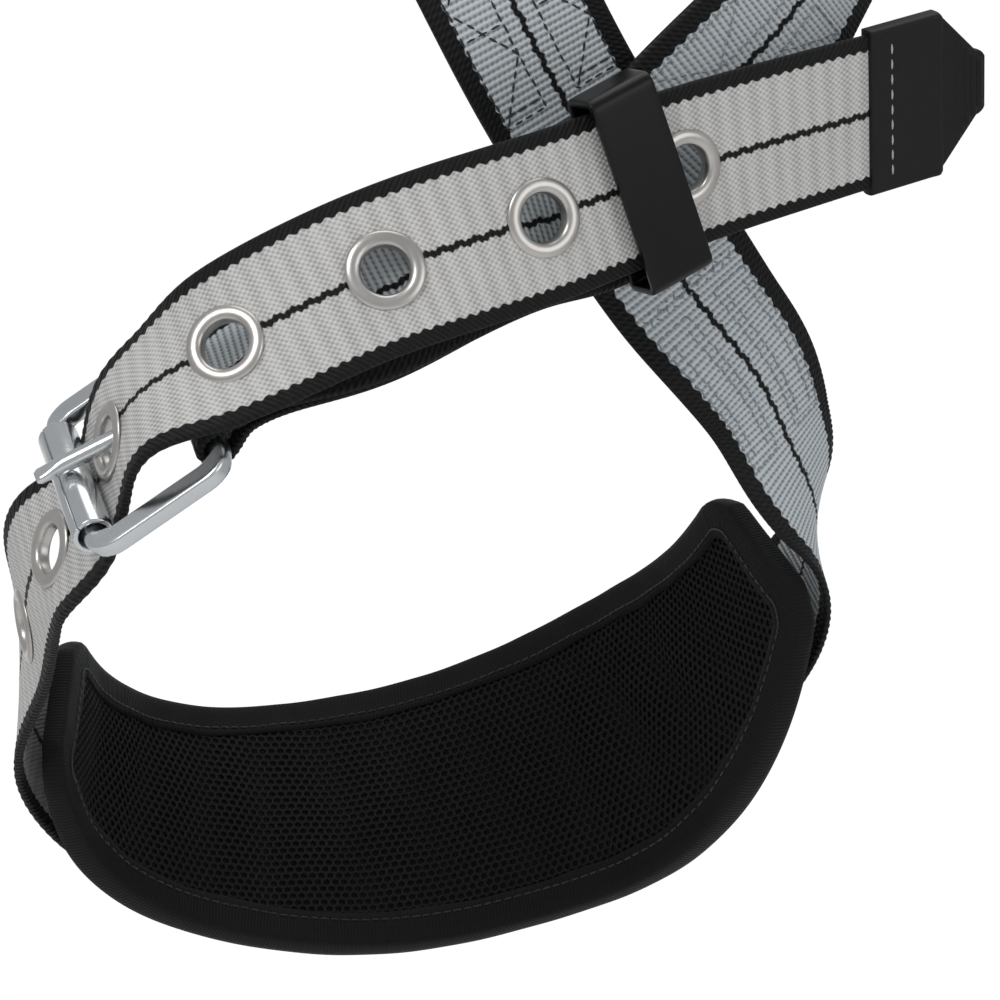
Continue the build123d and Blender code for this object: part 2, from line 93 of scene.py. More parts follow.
class Route:
    """A natural cubic spline through stations (x, y, z, width direction, optional width)."""

    def __init__(self, stations, face=1.0):
        self.face = face
        self.rows = np.array([list(r) for r in stations], float)
        steps = np.linalg.norm(np.diff(self.rows[:, :3], axis=0), axis=1)
        self.at = np.concatenate([[0], np.cumsum(steps)])
        self.bends = np.array([second_slopes(self.at, c) for c in self.rows.T]).T
        self.grid = np.linspace(0, self.at[-1], 1001)
        line = self.raw(self.grid)[:, :3]
        steps = np.linalg.norm(np.diff(line, axis=0), axis=1)
        self.along = np.concatenate([[0], np.cumsum(steps)])
        self.length = self.along[-1]

    def raw(self, q):
        q = np.clip(np.atleast_1d(q), 0, self.at[-1])
        i = np.clip(np.searchsorted(self.at, q) - 1, 0, len(self.at) - 2)
        gap = self.at[i + 1] - self.at[i]
        a, b = (self.at[i + 1] - q) / gap, (q - self.at[i]) / gap
        curve = (a**3 - a)[:, None] * self.bends[i] + (b**3 - b)[:, None] * self.bends[i + 1]
        straight = a[:, None] * self.rows[i] + b[:, None] * self.rows[i + 1]
        return straight + curve * (gap**2)[:, None] / 6

    def frame(self, s):
        q = np.interp(np.atleast_1d(s), self.along, self.grid)
        here = self.raw(q)
        run = unit(self.raw(q + 0.05)[:, :3] - self.raw(q - 0.05)[:, :3])
        side = here[:, 3:6]
        side = unit(side - run * (side * run).sum(1)[:, None])
        return here[:, :3], run, side, np.cross(run, side) * self.face

    def width(self, s):
        return self.raw(np.interp(np.atleast_1d(s), self.along, self.grid))[:, 6]

    def point(self, s, lift=0.0, across=0.0):
        """Points off the route; past its ends they go straight on."""
        s = np.atleast_1d(np.asarray(s, float))
        held = np.clip(s, 0, self.length)
        centre, run, side, normal = self.frame(held)
        lift, across = np.broadcast_to(lift, s.shape), np.broadcast_to(across, s.shape)
        centre = centre + run * (s - held)[:, None]
        return centre + normal * lift[:, None] + side * across[:, None]

    def station(self, s, lift=0.0, flip=1.0):
        side = self.frame(s)[2][0] * flip
        return (*self.point(s, lift)[0], *side)


def spaced(start, end, step):
    count = max(2, int(abs(end - start) / step) + 1)
    return [start + (end - start) * i / (count - 1) for i in range(count)]


bar_dir = unit(np.array([0.291, -0.766, -0.571]))
arm_dir = np.array([0.822, -0.104, 0.559])
arm_dir = unit(arm_dir - bar_dir * arm_dir.dot(bar_dir))
out_dir = np.cross(bar_dir, arm_dir)
back_bar = np.array([-62.5, -14.0, -160.0])


def by_buckle(arm, out, bar=0.0):
    arm, out, bar = (np.asarray(v, float)[..., None] for v in (arm, out, bar))
    return back_bar + arm_dir * arm + out_dir * out + bar_dir * bar


def buckle_station(arm, out, bar=0.0):
    return (*by_buckle(arm, out, bar), *-bar_dir)


pad = Route([
    (-108, 84, -243, 0.00, 0.51, 0.86, 50),
    (-99, 112, -266, 0.03, 0.60, 0.80, 64),
    (-73, 140, -281, 0.00, 0.62, 0.78, 77),
    (-41, 152, -284, -0.06, 0.58, 0.81, 86),
    (-11, 154, -281, -0.10, 0.50, 0.86, 88),
    (23, 144, -271, -0.15, 0.40, 0.90, 88),
    (55, 122, -255, -0.20, 0.36, 0.91, 88),
    (78, 90, -230, -0.28, 0.42, 0.86, 74),
    (90, 62, -199, -0.42, 0.48, 0.77, 50),
])
ON_PAD = -(2 * SKIN_T + 3 * PAD_GAP + FOAM_T + 0.8 + 0.6 + STRAP_T / 2)
OVER_PAD = ON_PAD - STRAP_T - 1.2

riser = Route([
    (0, 0, 0, -1.00, 0.00, 0.00),
    (3, 1, -18, -0.98, 0.00, -0.20),
    (10, 2, -33, -0.88, 0.00, -0.48),
    (21, 5, -54, -0.86, 0.00, -0.51),
    (34, 17, -77, -0.86, 0.00, -0.52),
    (60, 29, -116, -0.82, 0.00, -0.57),
    (69, 34, -128, -0.80, -0.14, -0.58),
    (79, 39, -140, -0.74, -0.32, -0.59),
    (90, 48, -154, -0.66, -0.45, -0.60),
    (98, 57, -170, -0.54, -0.57, -0.62),
    (106, 70, -188, -0.18, -0.56, -0.81),
    pad.station(pad.length - 14, ON_PAD - 10, -1)[:3] + (0.12, -0.52, -0.85),
    pad.station(pad.length - 46, ON_PAD - 5, -1)[:3] + (0.20, -0.45, -0.87),
    pad.station(pad.length - 76, ON_PAD - 1.2, -1),
    *[pad.station(s, ON_PAD, -1) for s in spaced(pad.length - 104, 28, 26)],
], face=-1)

tongue = Route([
    (120, 28, -79, -0.09, -0.46, 0.88),
    (96, 15, -87, -0.11, -0.42, 0.90),
    (64, 0, -98, -0.15, -0.34, 0.92),
    (25, -20, -113, -0.22, -0.14, 0.96),
    (-16, -33, -128, -0.32, 0.15, 0.93),
    (-58, -32, -148, -0.48, 0.43, 0.76),
    buckle_station(-10, 14.5, 3.5),
    buckle_station(-24.8, 5.3, 0),
    buckle_station(-REACH, -9.8, -2),
    (-106, 17, -201, -0.37, 0.70, 0.60),
    (-116, 55, -223, -0.28, 0.66, 0.70),
    *[pad.station(s, OVER_PAD) for s in (8, 30, 54, 78)],
], face=-1)

anchor = Route([
    buckle_station(0, 0, 0),
    buckle_station(14, 1, 0.5),
    (-18, -22, -134, -0.36, 0.20, 0.91),
    (24, -6, -113, -0.36, -0.05, 0.93),
    (49, 12.5, -103, -0.36, -0.20, 0.91),
    (64, 17, -87, -0.52, -0.28, 0.80),
    (79, 21, -71, -0.66, -0.38, 0.64),
    (93, 26, -56, -0.72, -0.50, 0.47),
    (104, 34, -39, -0.68, -0.68, 0.27),
    (114, 47, -17, -0.65, -0.75, 0.08),
    (118, 53, 0, -0.643, -0.766, 0.00),
])

held_at = tongue.along[np.abs(tongue.grid - tongue.at[7]).argmin()]
grommets = [held_at + PITCH * (i - HELD) for i in range(7)]
keeper_at = grommets[0] + 13.7


# ---- meshes ----
def mesh_object(name, verts, polys, lay=None):
    """A piece from points in millimetres and lists of faces, with its normals turned outwards."""
    mesh = bpy.data.meshes.new(name)
    faces = [f for group in polys for f in np.asarray(group).tolist()]
    mesh.from_pydata((np.asarray(verts) * MM).tolist(), [], faces)
    bm = bmesh.new()
    bm.from_mesh(mesh)
    bmesh.ops.recalc_face_normals(bm, faces=bm.faces)
    bm.to_mesh(mesh)
    bm.free()
    mesh.polygons.foreach_set("use_smooth", [True] * len(mesh.polygons))
    if lay is not None:
        write_lay(mesh, lay)
    piece = bpy.data.objects.new(name, mesh)
    bpy.context.scene.collection.objects.link(piece)
    return piece


def write_lay(mesh, lay):
    data = np.zeros((len(lay), 3), np.float32)
    data[:, :2] = np.asarray(lay)[:, :2]
    mesh.attributes.new("lay", "FLOAT_VECTOR", "POINT").data.foreach_set("vector", data.ravel())


def grid_faces(rows, cols, first=0, wrap_rows=False, wrap_cols=False):
    i = np.arange(rows if wrap_rows else rows - 1)[:, None]
    j = np.arange(cols if wrap_cols else cols - 1)[None, :]
    i2, j2 = (i + 1) % rows, (j + 1) % cols
    quads = np.stack([i * cols + j, i * cols + j2, i2 * cols + j2, i2 * cols + j], -1)
    return quads.reshape(-1, 4) + first


def sweep(name, rings, closed=False, lay=None):
    """A tube through rings of points; its ends are capped unless it closes on itself."""
    rings = np.asarray(rings, float)
    n, k = rings.shape[:2]
    polys = [grid_faces(n, k, wrap_rows=closed, wrap_cols=True)]
    if not closed:
        polys += [[np.arange(k)], [np.arange(k) + (n - 1) * k]]
    return mesh_object(name, rings.reshape(-1, 3), polys, lay)


def shell(name, front, back, lay=None):
    """A closed body between two grids of points; also gives the front grid's edge points."""
    n, m = front.shape[:2]
    rim = np.concatenate([
        np.arange(m), np.arange(1, n) * m + m - 1, (n - 1) * m + np.arange(m - 2, -1, -1),
        np.arange(n - 2, 0, -1) * m,
    ])
    after, count = np.roll(rim, -1), n * m
    wall = np.stack([rim, rim + count, after + count, after], -1)
    polys = [grid_faces(n, m), grid_faces(n, m, count)[:, ::-1], wall]
    verts = np.concatenate([front.reshape(-1, 3), back.reshape(-1, 3)])
    return mesh_object(name, verts, polys, lay), rim


def lathe(name, profile, centre, axis, count=64, start=0.0, end=TAU):
    """A closed profile (radius, height) turned about an axis."""
    axis = unit(np.asarray(axis, float))
    one = unit(np.cross(axis, [0.3, 0.2, 0.93]))
    two = np.cross(axis, one)
    full = end - start > TAU - 1e-6
    turns = np.linspace(start, end, count, endpoint=not full)
    rings = [
        [centre + (one * math.cos(t) + two * math.sin(t)) * r + axis * h for r, h in profile]
        for t in turns
    ]
    return sweep(name, rings, closed=full)


class Path:
    """A strap's own middle line, by distance along it from its first end."""

    def __init__(self, centre, side, face=1.0):
        steps = np.linalg.norm(np.diff(centre, axis=0), axis=1)
        self.p = np.concatenate([[0], np.cumsum(steps)])
        self.length = self.p[-1]
        run = unit(np.gradient(centre, self.p, axis=0))
        side = unit(side - run * (side * run).sum(1)[:, None])
        self.table = np.hstack([centre, run, side, np.cross(run, side) * face])

    def at(self, p):
        p = np.asarray(p, float)
        rows = np.stack([np.interp(p, self.p, c) for c in self.table.T], -1)
        return rows[..., :3], unit(rows[..., 3:6]), unit(rows[..., 6:9]), unit(rows[..., 9:])

    def surface(self, p, u, lift=0.0):
        centre, _, side, normal = self.at(p)
        lift = np.broadcast_to(lift, np.shape(p))
        return centre + side * np.asarray(u)[..., None] + normal * lift[..., None]


def strap_path(route, marks, face=1.0):
    """A path through (distance along the route, lift off it) marks, half a millimetre apart."""
    s, lift = np.array(marks).T
    return Path(route.point(s, lift), route.frame(np.clip(s, 0, route.length))[2], face)


def level(start, end, lift):
    return [(s, lift) for s in spaced(start, end, 0.5)]


def swell(start, end, lift_a, lift_b):
    return [
        (s, lift_a + (lift_b - lift_a) * smooth((s - start) / (end - start)))
        for s in spaced(start, end, 0.5)[1:]
    ]


def turn(at, middle, radius, sense, up=1):
    """Half a turn round an eye; sense is -1 at the route's start and +1 at its end."""
    angles = np.linspace(0, math.pi, 40)[1:]
    return [(at + sense * radius * math.sin(a), middle + up * radius * math.cos(a)) for a in angles]


def columns(width, step, edge=(0.0, 0.22, 0.6, 1.15)):
    half = width / 2
    inner = np.linspace(-half + 1.9, half - 1.9, int((width - 3.8) / step) + 1)
    return np.concatenate([[-half + e for e in edge], inner, [half - e for e in reversed(edge)]])


def slab(name, path, step, col_step, relief, holes=(), slots=(), start=0.0):
    """A strap of webbing as one closed mesh, with rounded edges, woven relief and real holes."""
    half_w, half_t = STRAP_W / 2, STRAP_T / 2
    u = columns(STRAP_W, col_step)
    p = np.linspace(start, path.length, int((path.length - start) / step) + 1)
    rows, cols = len(p), len(u)
    P, U = np.meshgrid(p, u, indexing="ij")
    pc, uc = (P[:-1, :-1] + P[1:, 1:]) / 2, (U[:-1, :-1] + U[1:, 1:]) / 2
    keep = np.ones(pc.shape, bool)
    for at, r in holes:
        keep &= (pc - at) ** 2 + uc**2 > r * r
    for at, half_p, half_u in slots:
        keep &= (np.abs(pc - at) > half_p) | (np.abs(uc) > half_u)
    touched, solid = np.zeros(P.shape, bool), np.zeros(P.shape, bool)
    for di in (0, 1):
        for dj in (0, 1):
            view = (slice(di, rows - 1 + di), slice(dj, cols - 1 + dj))
            touched[view] |= ~keep
            solid[view] |= keep
    rim = touched & solid
    for at, r in holes:
        near = rim & (np.hypot(P - at, U) < r + 3)
        d = np.hypot(P - at, U)[near]
        P[near] = at + (P[near] - at) * r / d
        U[near] = U[near] * r / d
    past = np.clip(np.abs(U) - (half_w - half_t), 0, half_t)
    half = np.sqrt(np.maximum(half_t**2 - past**2, (0.1 * STRAP_T) ** 2))
    half = half + relief(P, U) * smooth((half_w - np.abs(U)) / 0.8)
    drift = 0.10 * np.sin(P / 15.0) + 0.06 * np.sin(P / 6.7 + U / 9)
    sway = 0.22 * np.sin(P / 23.0) * (np.abs(U) / half_w) ** 2
    front = path.surface(P, U + sway, drift + half)
    back = path.surface(P, U + sway, drift - half)
    index = np.full(P.shape, -1)
    index[solid] = np.arange(solid.sum())
    count = int(solid.sum())
    a, b = index[:-1, :-1], index[:-1, 1:]
    c, d = index[1:, 1:], index[1:, :-1]
    top = np.stack([a, b, c, d], -1)[keep]
    polys = [top, top[:, ::-1] + count]
    padded = np.pad(keep, 1)
    inside = padded[1:-1, 1:-1]
    for shift, one, two in (((-1, 0), a, b), ((0, 1), b, c), ((1, 0), c, d), ((0, -1), d, a)):
        beside = padded[1 + shift[0] : rows + shift[0], 1 + shift[1] : cols + shift[1]]
        edge = inside & ~beside
        polys.append(np.stack([two[edge], one[edge], one[edge] + count, two[edge] + count], -1))
    verts = np.concatenate([front[solid], back[solid]])
    lay = np.tile(np.stack([U[solid], P[solid]], -1), (2, 1))
    return mesh_object(name, verts, polys, lay)


def threads(name, centres, runs, normals, length, radius, sag=0.6, taper=0.35):
    """Rows of sewn stitches: each is a short thread that dips into the cloth at both ends."""
    centres, runs, normals = (np.asarray(v, float) for v in (centres, runs, normals))
    runs = unit(runs)
    normals = unit(normals - runs * (normals * runs).sum(1)[:, None])
    sides = np.cross(runs, normals)
    length = np.broadcast_to(length, len(centres))
    verts = []
    stops = np.array([-0.5, -0.42, -0.22, 0.0, 0.22, 0.42, 0.5])
    for t in stops:
        full = math.cos(t * math.pi) ** 0.6 if abs(t) < 0.5 else 0.0
        fat = radius * (taper + (1 - taper) * full)
        dip = -sag * radius * (2 * t) ** 2
        for k in range(6):
            a = TAU * k / 6
            off = sides * (math.cos(a) * fat) + normals * (math.sin(a) * fat + dip)
            verts.append(centres + runs * (length * t)[:, None] + off)
    verts = np.stack(verts, 1)
    n, k = verts.shape[:2]
    one = grid_faces(len(stops), 6, wrap_cols=True)
    base = (np.arange(n) * k)[:, None, None]
    caps = [(np.arange(6)[None, :] + base[:, 0]), (np.arange(6)[None, :] + base[:, 0] + k - 6)]
    lay = np.zeros((n * k, 2))
    lay[:, 0] = np.tile(np.arange(k) % 6, n)
    lay[:, 1] = np.repeat(np.arange(n) * 3.0, k) + np.tile(np.repeat(stops, 6), n) * 3
    return mesh_object(name, verts.reshape(-1, 3), [(one[None] + base).reshape(-1, 4), *caps], lay)


def seams(surface, lines, pitch=3.3, gap=0.7, waver=0.12):
    """Stitch centres, directions, normals and lengths along lines of (distance, across) corners."""
    centres, runs, normals, lengths = [], [], [], []
    for line in lines:
        line = np.array(line, float)
        legs = np.linalg.norm(np.diff(line, axis=0), axis=1)
        stops = np.concatenate([[0], np.cumsum(legs)])
        count = max(1, round(stops[-1] / pitch))
        each = stops[-1] / count
        for i in range(count):
            mid = (i + 0.5) * each
            ends = [
                np.array([np.interp(mid + h * (each - gap) / 2, stops, line[:, c]) for c in (0, 1)])
                for h in (-1, 0, 1)
            ]
            off = waver * math.sin(i * 2.4 + stops[-1])
            a, m, b = (surface(e[0], e[1] + off) for e in ends)
            centres.append(m[0])
            normals.append(m[1])
            runs.append(b[0] - a[0])
            lengths.append(np.linalg.norm(b[0] - a[0]))
    return np.array(centres), np.array(runs), np.array(normals), np.array(lengths)


# ---- materials ----
class Look:
    """A Principled material with short calls for its pattern nodes."""

    def __init__(self, name, **sockets):
        self.mat = bpy.data.materials.new(name)
        self.mat.use_nodes = True
        self.tree = self.mat.node_tree
        self.shader = next(n for n in self.tree.nodes if n.type == "BSDF_PRINCIPLED")
        for key, value in sockets.items():
            socket = key.replace("_", " ").title().replace("Ior", "IOR")
            self.shader.inputs[socket].default_value = value

    def put(self, socket, value):
        if isinstance(value, bpy.types.NodeSocket):
            self.tree.links.new(value, socket)
        else:
            socket.default_value = value

    def node(self, kind, inputs=(), out=0, **settings):
        made = self.tree.nodes.new("ShaderNode" + kind)
        for key, value in settings.items():
            setattr(made, key, value)
        for key, value in dict(inputs).items():
            self.put(made.inputs[key], value)
        return made.outputs[out]

    def math(self, op, *values, clamp=False):
        return self.node("Math", enumerate(values), operation=op, use_clamp=clamp)

    def add(self, a, b):
        return self.math("ADD", a, b)

    def mul(self, a, b):
        return self.math("MULTIPLY", a, b)

    def sub(self, a, b):
        return self.math("SUBTRACT", a, b)

    def wave(self, value, period, phase=0.0):
        """Minus one to one."""
        return self.math("SINE", self.add(self.mul(value, TAU / period), phase))

    def step(self, value, low, high):
        inputs = {"Value": value, "From Min": low, "From Max": high}
        return self.node("MapRange", inputs, interpolation_type="SMOOTHSTEP")

    def lay(self):
        spot = self.node("Attribute", out="Vector", attribute_name="lay", attribute_type="GEOMETRY")
        apart = self.tree.nodes.new("ShaderNodeSeparateXYZ")
        self.tree.links.new(spot, apart.inputs[0])
        return apart.outputs[0], apart.outputs[1]

    def place(self):
        return self.node("TexCoord", out="Object")

    def vec(self, x, y, z=0.0):
        return self.node("CombineXYZ", enumerate((x, y, z)))

    def noise(self, vector, scale, detail=2.0, stretch=None):
        if stretch:
            vector = self.node("Mapping", {"Vector": vector, "Scale": stretch})
        return self.node("TexNoise", {"Vector": vector, "Scale": scale, "Detail": detail})

    def mix(self, factor, one, two):
        made = self.tree.nodes.new("ShaderNodeMix")
        made.data_type = "RGBA"
        for slot, value in ((0, factor), (6, one), (7, two)):
            if isinstance(value, tuple):
                value = (*value, 1.0)
            self.put(made.inputs[slot], value)
        return made.outputs[2]

    def scale(self, factor, low, high):
        return self.node("MapRange", {"Value": factor, "To Min": low, "To Max": high})

    def bump(self, height, distance, strength=1.0):
        made = self.node(
            "Bump", {"Height": height, "Distance": distance * MM, "Strength": strength}
        )
        self.tree.links.new(made, self.shader.inputs["Normal"])

    def colour(self, value):
        self.put(self.shader.inputs["Base Color"], value)

    def rough(self, value):
        self.put(self.shader.inputs["Roughness"], value)


def webbing(name, light, deep, rib, yarn, selvedge, line, wave, flat, depth):
    """Woven strap with black selvedges and a black centre thread, with painted shade in its grooves
    and painted highlights on its crowns and cords; flat is 1 for a plain face.
    """
    k = Look(name, sheen_weight=0.06, sheen_roughness=0.45, specular_ior_level=0.25)
    across, along = k.lay()
    far = k.math("ABSOLUTE", across)
    spot = k.vec(across, along)
    rag = k.sub(k.noise(spot, 0.8), 0.5)
    ripple = k.mul(k.wave(along, wave), 0.4)
    inner = STRAP_W / 2 - selvedge
    border = k.step(k.add(k.add(far, ripple), k.mul(rag, 0.35)), inner - 0.2, inner + 0.2)
    wander = k.mul(k.wave(along, wave * 1.37, 1.0), 0.33)
    middle = k.math("ABSOLUTE", k.add(k.add(across, wander), k.mul(rag, 0.2)))
    fat = k.mul(k.wave(along, wave * 0.5), 0.22)
    thread = k.step(k.add(middle, fat), line / 2 + 0.25, line / 2 - 0.25)
    black = k.math("MAXIMUM", border, thread)
    # the weave pattern below is the yarn's own pattern and also the painted shade and highlight of
    # the ribs
    if flat:
        dots = k.mul(k.mul(k.wave(along, rib), k.wave(across, yarn)), 0.62)
        lines = k.mul(k.wave(along, rib * 3.1), 0.16)
        weave = k.add(k.add(dots, lines), 0.5)
    else:
        rows = k.mul(k.wave(along, rib, math.pi / 2), 0.5)
        fine = k.mul(k.wave(k.add(across, k.mul(along, 0.35)), yarn), 0.18)
        weave = k.add(k.add(rows, fine), 0.5)
    # diagonal cord stripes: relief for the bump, and a painted highlight in the colour of the black
    # bands
    cords_and_glint = k.add(k.mul(k.wave(k.add(along, k.mul(far, 0.9)), 1.7), 0.5), 0.5)
    slow = k.noise(spot, 0.035, 3.0)
    fibre = k.noise(spot, 2.2, 2.0, stretch=(1.0, 0.25, 1.0))
    stains = k.add(k.mul(slow, 0.35), k.mul(fibre, 0.35))
    # painted shade and highlight: tone darkens the strap towards deep in the rib grooves and between
    # yarns and lightens it towards light on their crowns, on top of the yarn's own pattern; depth
    # sets how strong this is
    tone = k.math("ADD", k.mul(weave, depth), stains, clamp=True)
    cloth = k.mix(tone, deep, light)
    # painted highlight: the black selvedges and centre thread are lightened along the cord stripes,
    # where real cords would catch the light
    dark = k.mix(k.mul(cords_and_glint, k.add(fibre, 0.2)), (0.002, 0.002, 0.0022), (0.014, 0.014, 0.015))
    k.colour(k.mix(black, cloth, dark))
    k.rough(k.scale(k.math("ADD", k.mul(weave, -0.5), k.add(fibre, 0.25), clamp=True), 0.5, 0.8))
    height = k.node("Mix", {0: black, 2: weave, 3: cords_and_glint})
    k.bump(k.add(height, k.mul(fibre, 0.35)), 0.22 if flat else 0.16)
    return k.mat


def black_cloth(name, low, high, pitch_a, pitch_b, depth, rough=0.7, sheen=0.05):
    """Black cloth with a visible weave of ribs pitch_b apart."""
    k = Look(name, sheen_weight=sheen * 0.4, sheen_roughness=0.5, specular_ior_level=0.12)
    across, along = k.lay()
    spot = k.vec(across, along)
    weave = k.add(k.mul(k.wave(along, pitch_b), 0.35), k.mul(k.wave(across, pitch_a), 0.15))
    weave = k.add(weave, 0.5)
    fibre = k.noise(spot, 1.6, 3.0)
    slow = k.noise(spot, 0.06, 3.0)
    tone = k.math("ADD", k.mul(weave, 0.5), k.mul(k.add(fibre, slow), 0.35), clamp=True)
    k.colour(k.mix(tone, low, high))
    k.rough(k.scale(fibre, rough - 0.12, rough + 0.15))
    k.bump(k.add(weave, k.mul(fibre, 0.5)), depth)
    return k.mat


def thread_look(name, low, high):
    k = Look(name, sheen_weight=0.3, sheen_roughness=0.4, specular_ior_level=0.4)
    across, along = k.lay()
    twist = k.add(k.mul(k.wave(k.add(along, k.mul(across, 0.16)), 0.55), 0.5), 0.5)
    fuzz = k.noise(k.place(), 900.0, 2.0)
    k.colour(k.mix(k.add(k.mul(twist, 0.6), k.mul(fuzz, 0.4)), low, high))
    k.rough(k.scale(fuzz, 0.45, 0.75))
    k.bump(twist, 0.08)
    return k.mat


def metal(name, low, high, rough_low, rough_high, scale=220.0, stretch=(1, 1, 1), depth=0.02):
    k = Look(name, metallic=1.0)
    place = k.place()
    cloud = k.noise(place, scale * 0.25, 3.0)
    scratch = k.noise(place, scale * 2.2, 4.0, stretch=stretch)
    k.colour(k.mix(k.add(k.mul(cloud, 0.75), k.mul(scratch, 0.25)), low, high))
    k.rough(k.scale(k.add(k.mul(cloud, 0.5), k.mul(scratch, 0.5)), rough_low, rough_high))
    k.bump(k.add(scratch, k.mul(cloud, 0.6)), depth)
    return k.mat


def plastic(name, low, high, rough_low, rough_high, grain, depth):
    k = Look(name, specular_ior_level=0.3)
    place = k.place()
    cloud = k.noise(place, 60.0, 3.0)
    pits = k.noise(place, grain, 2.0)
    scuff = k.step(k.noise(place, 420.0, 4.0, stretch=(1, 0.2, 1)), 0.62, 0.74)
    tone = k.add(k.mul(cloud, 0.6), k.mul(scuff, 0.4))
    k.colour(k.mix(tone, low, high))
    k.rough(k.scale(k.add(k.mul(pits, 0.7), k.mul(scuff, 0.3)), rough_low, rough_high))
    k.bump(pits, depth)
    return k.mat


silver = webbing(
    "silver webbing", (0.80, 0.79, 0.77), (0.29, 0.285, 0.28),
    rib=1.9, yarn=1.6, selvedge=4.2, line=1.9, wave=3.4, flat=True, depth=0.66,
)
grey = webbing(
    "blue grey webbing", (0.66, 0.71, 0.74), (0.12, 0.135, 0.145),
    rib=1.9, yarn=1.5, selvedge=5.4, line=1.7, wave=4.4, flat=False, depth=0.9,
)
PITCH_BLACK = (0.002, 0.002, 0.002)
cover_cloth = black_cloth("pad cover cloth", PITCH_BLACK, (0.008, 0.008, 0.0085), 1.1, 1.1, 0.10)
net_yarn = black_cloth(
    "spacer mesh yarn", PITCH_BLACK, (0.013, 0.013, 0.0135), 0.5, 0.7, 0.10, rough=0.55, sheen=0.06
)
grosgrain = black_cloth(
    "grosgrain binding", (0.002, 0.002, 0.0022), (0.011, 0.011, 0.012),
    6.0, 1.05, 0.16, rough=0.6, sheen=0.06,
)
zinc = metal("zinc plate", (0.60, 0.63, 0.66), (0.80, 0.82, 0.83), 0.16, 0.34)
zinc_roller = metal(
    "zinc plate drawn", (0.62, 0.65, 0.68), (0.82, 0.84, 0.85), 0.14, 0.28, 160.0, (1, 3, 1)
)
zinc_tongue = metal(
    "zinc plate wire", (0.62, 0.65, 0.67), (0.84, 0.86, 0.87), 0.15, 0.30, 200.0, (2, 1, 1)
)
nickel = metal("satin nickel", (0.50, 0.475, 0.45), (0.72, 0.70, 0.675), 0.24, 0.38, 260.0)
nickel_back = metal("satin nickel washer", (0.46, 0.44, 0.42), (0.66, 0.64, 0.62), 0.30, 0.46, 240.0)
keeper_plastic = plastic(
    "keeper plastic", (0.002, 0.002, 0.0022), (0.006, 0.006, 0.0065), 0.26, 0.42, 2600.0, 0.012
)
tip_plastic = plastic(
    "tip plastic", (0.004, 0.0036, 0.0034), (0.012, 0.011, 0.0105), 0.38, 0.58, 1500.0, 0.03
)
dark_thread = thread_look("dark thread", (0.008, 0.010, 0.012), (0.05, 0.058, 0.066))
grey_thread = thread_look("grey thread", (0.16, 0.185, 0.205), (0.46, 0.51, 0.55))
light_thread = thread_look("light thread", (0.30, 0.30, 0.29), (0.72, 0.72, 0.70))
black_thread = thread_look("black thread", (0.004, 0.004, 0.004), (0.034, 0.034, 0.036))


def dress(piece, material, slot, body, *nodes):
    """Material, slot, body and the CAD nodes that a piece stands for; slot is not used."""
    piece.data.materials.append(material)
    if nodes:
        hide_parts(*nodes)
    if body:
        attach(piece, body)
    return piece


# ---- straps ----
RIB = 1.9


def ribbed(p, u):
    edge = smooth((np.abs(u) - 16.2) / 1.0)
    return (0.15 + 0.05 * edge) * np.cos(TAU * p / RIB)


def corded(p, u):
    edge = smooth((np.abs(u) - 17.4) / 1.0)
    cord = 0.10 + 0.13 * np.cos(TAU * (p / 3.6 + 0.16 * (np.abs(u) - 20)))
    return edge * cord + 0.06 * np.exp(-((u / 1.1) ** 2)) * np.cos(TAU * p / 3.6)


riser_path = strap_path(riser, [
    *level(FOLD_END, 18, FOLD_IN), *swell(18, 0, FOLD_IN, EYE_MID), *turn(0, 0, EYE_MID, -1),
    *swell(0, 18, -EYE_MID, 0.0), *level(18, riser.length, 0.0)[1:],
])
thigh_strap = slab("thigh_strap_webbing", riser_path, RIB / 4, 2.4, ribbed)
dress(thigh_strap, grey, "webbing_blue_grey", "loop", "thigh_strap", "riser_eye_loop")

half_in = FOLD_IN / 2
anchor_marks = [
    *level(118, 12, -half_in), *swell(12, 0, -half_in, -BAR_MID), *turn(0, 0, BAR_MID, -1, -1),
    *swell(0, 12, BAR_MID, half_in), *level(12, anchor.length - 18, half_in)[1:],
    *swell(anchor.length - 18, anchor.length, half_in, half_in + EYE_MID),
    *turn(anchor.length, half_in, EYE_MID, 1),
    *swell(anchor.length, anchor.length - 18, half_in - EYE_MID, -half_in),
    *level(anchor.length - 18, 158, -half_in)[1:],
]
anchor_path = strap_path(anchor, anchor_marks)
bar_turn = next(i for i, mark in enumerate(anchor_marks) if mark[0] < -BAR_MID + 0.02)
buckle_strap = slab(
    "buckle_strap_webbing", anchor_path, RIB / 4, 2.4, ribbed,
    slots=[(anchor_path.p[bar_turn], 13.4, 4.6)],
)
dress(buckle_strap, grey, "webbing_blue_grey", "loop", "buckle_strap", "anchor_eye_loop")

tongue_path = strap_path(tongue, level(0.0, tongue.length, 0.0), face=-1)
tongue_strap = slab(
    "tongue_strap_webbing", tongue_path, 0.62, 1.15, corded, start=1.0,
    holes=[(s, 7.25) for s in grommets],
)
dress(tongue_strap, silver, "webbing_silver", None, "tongue_strap", "tongue_strap_tail")
bend_from, bend_to = (tongue.point(s)[0] * MM for s in (52.0, 20.0))
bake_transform(tongue_strap)

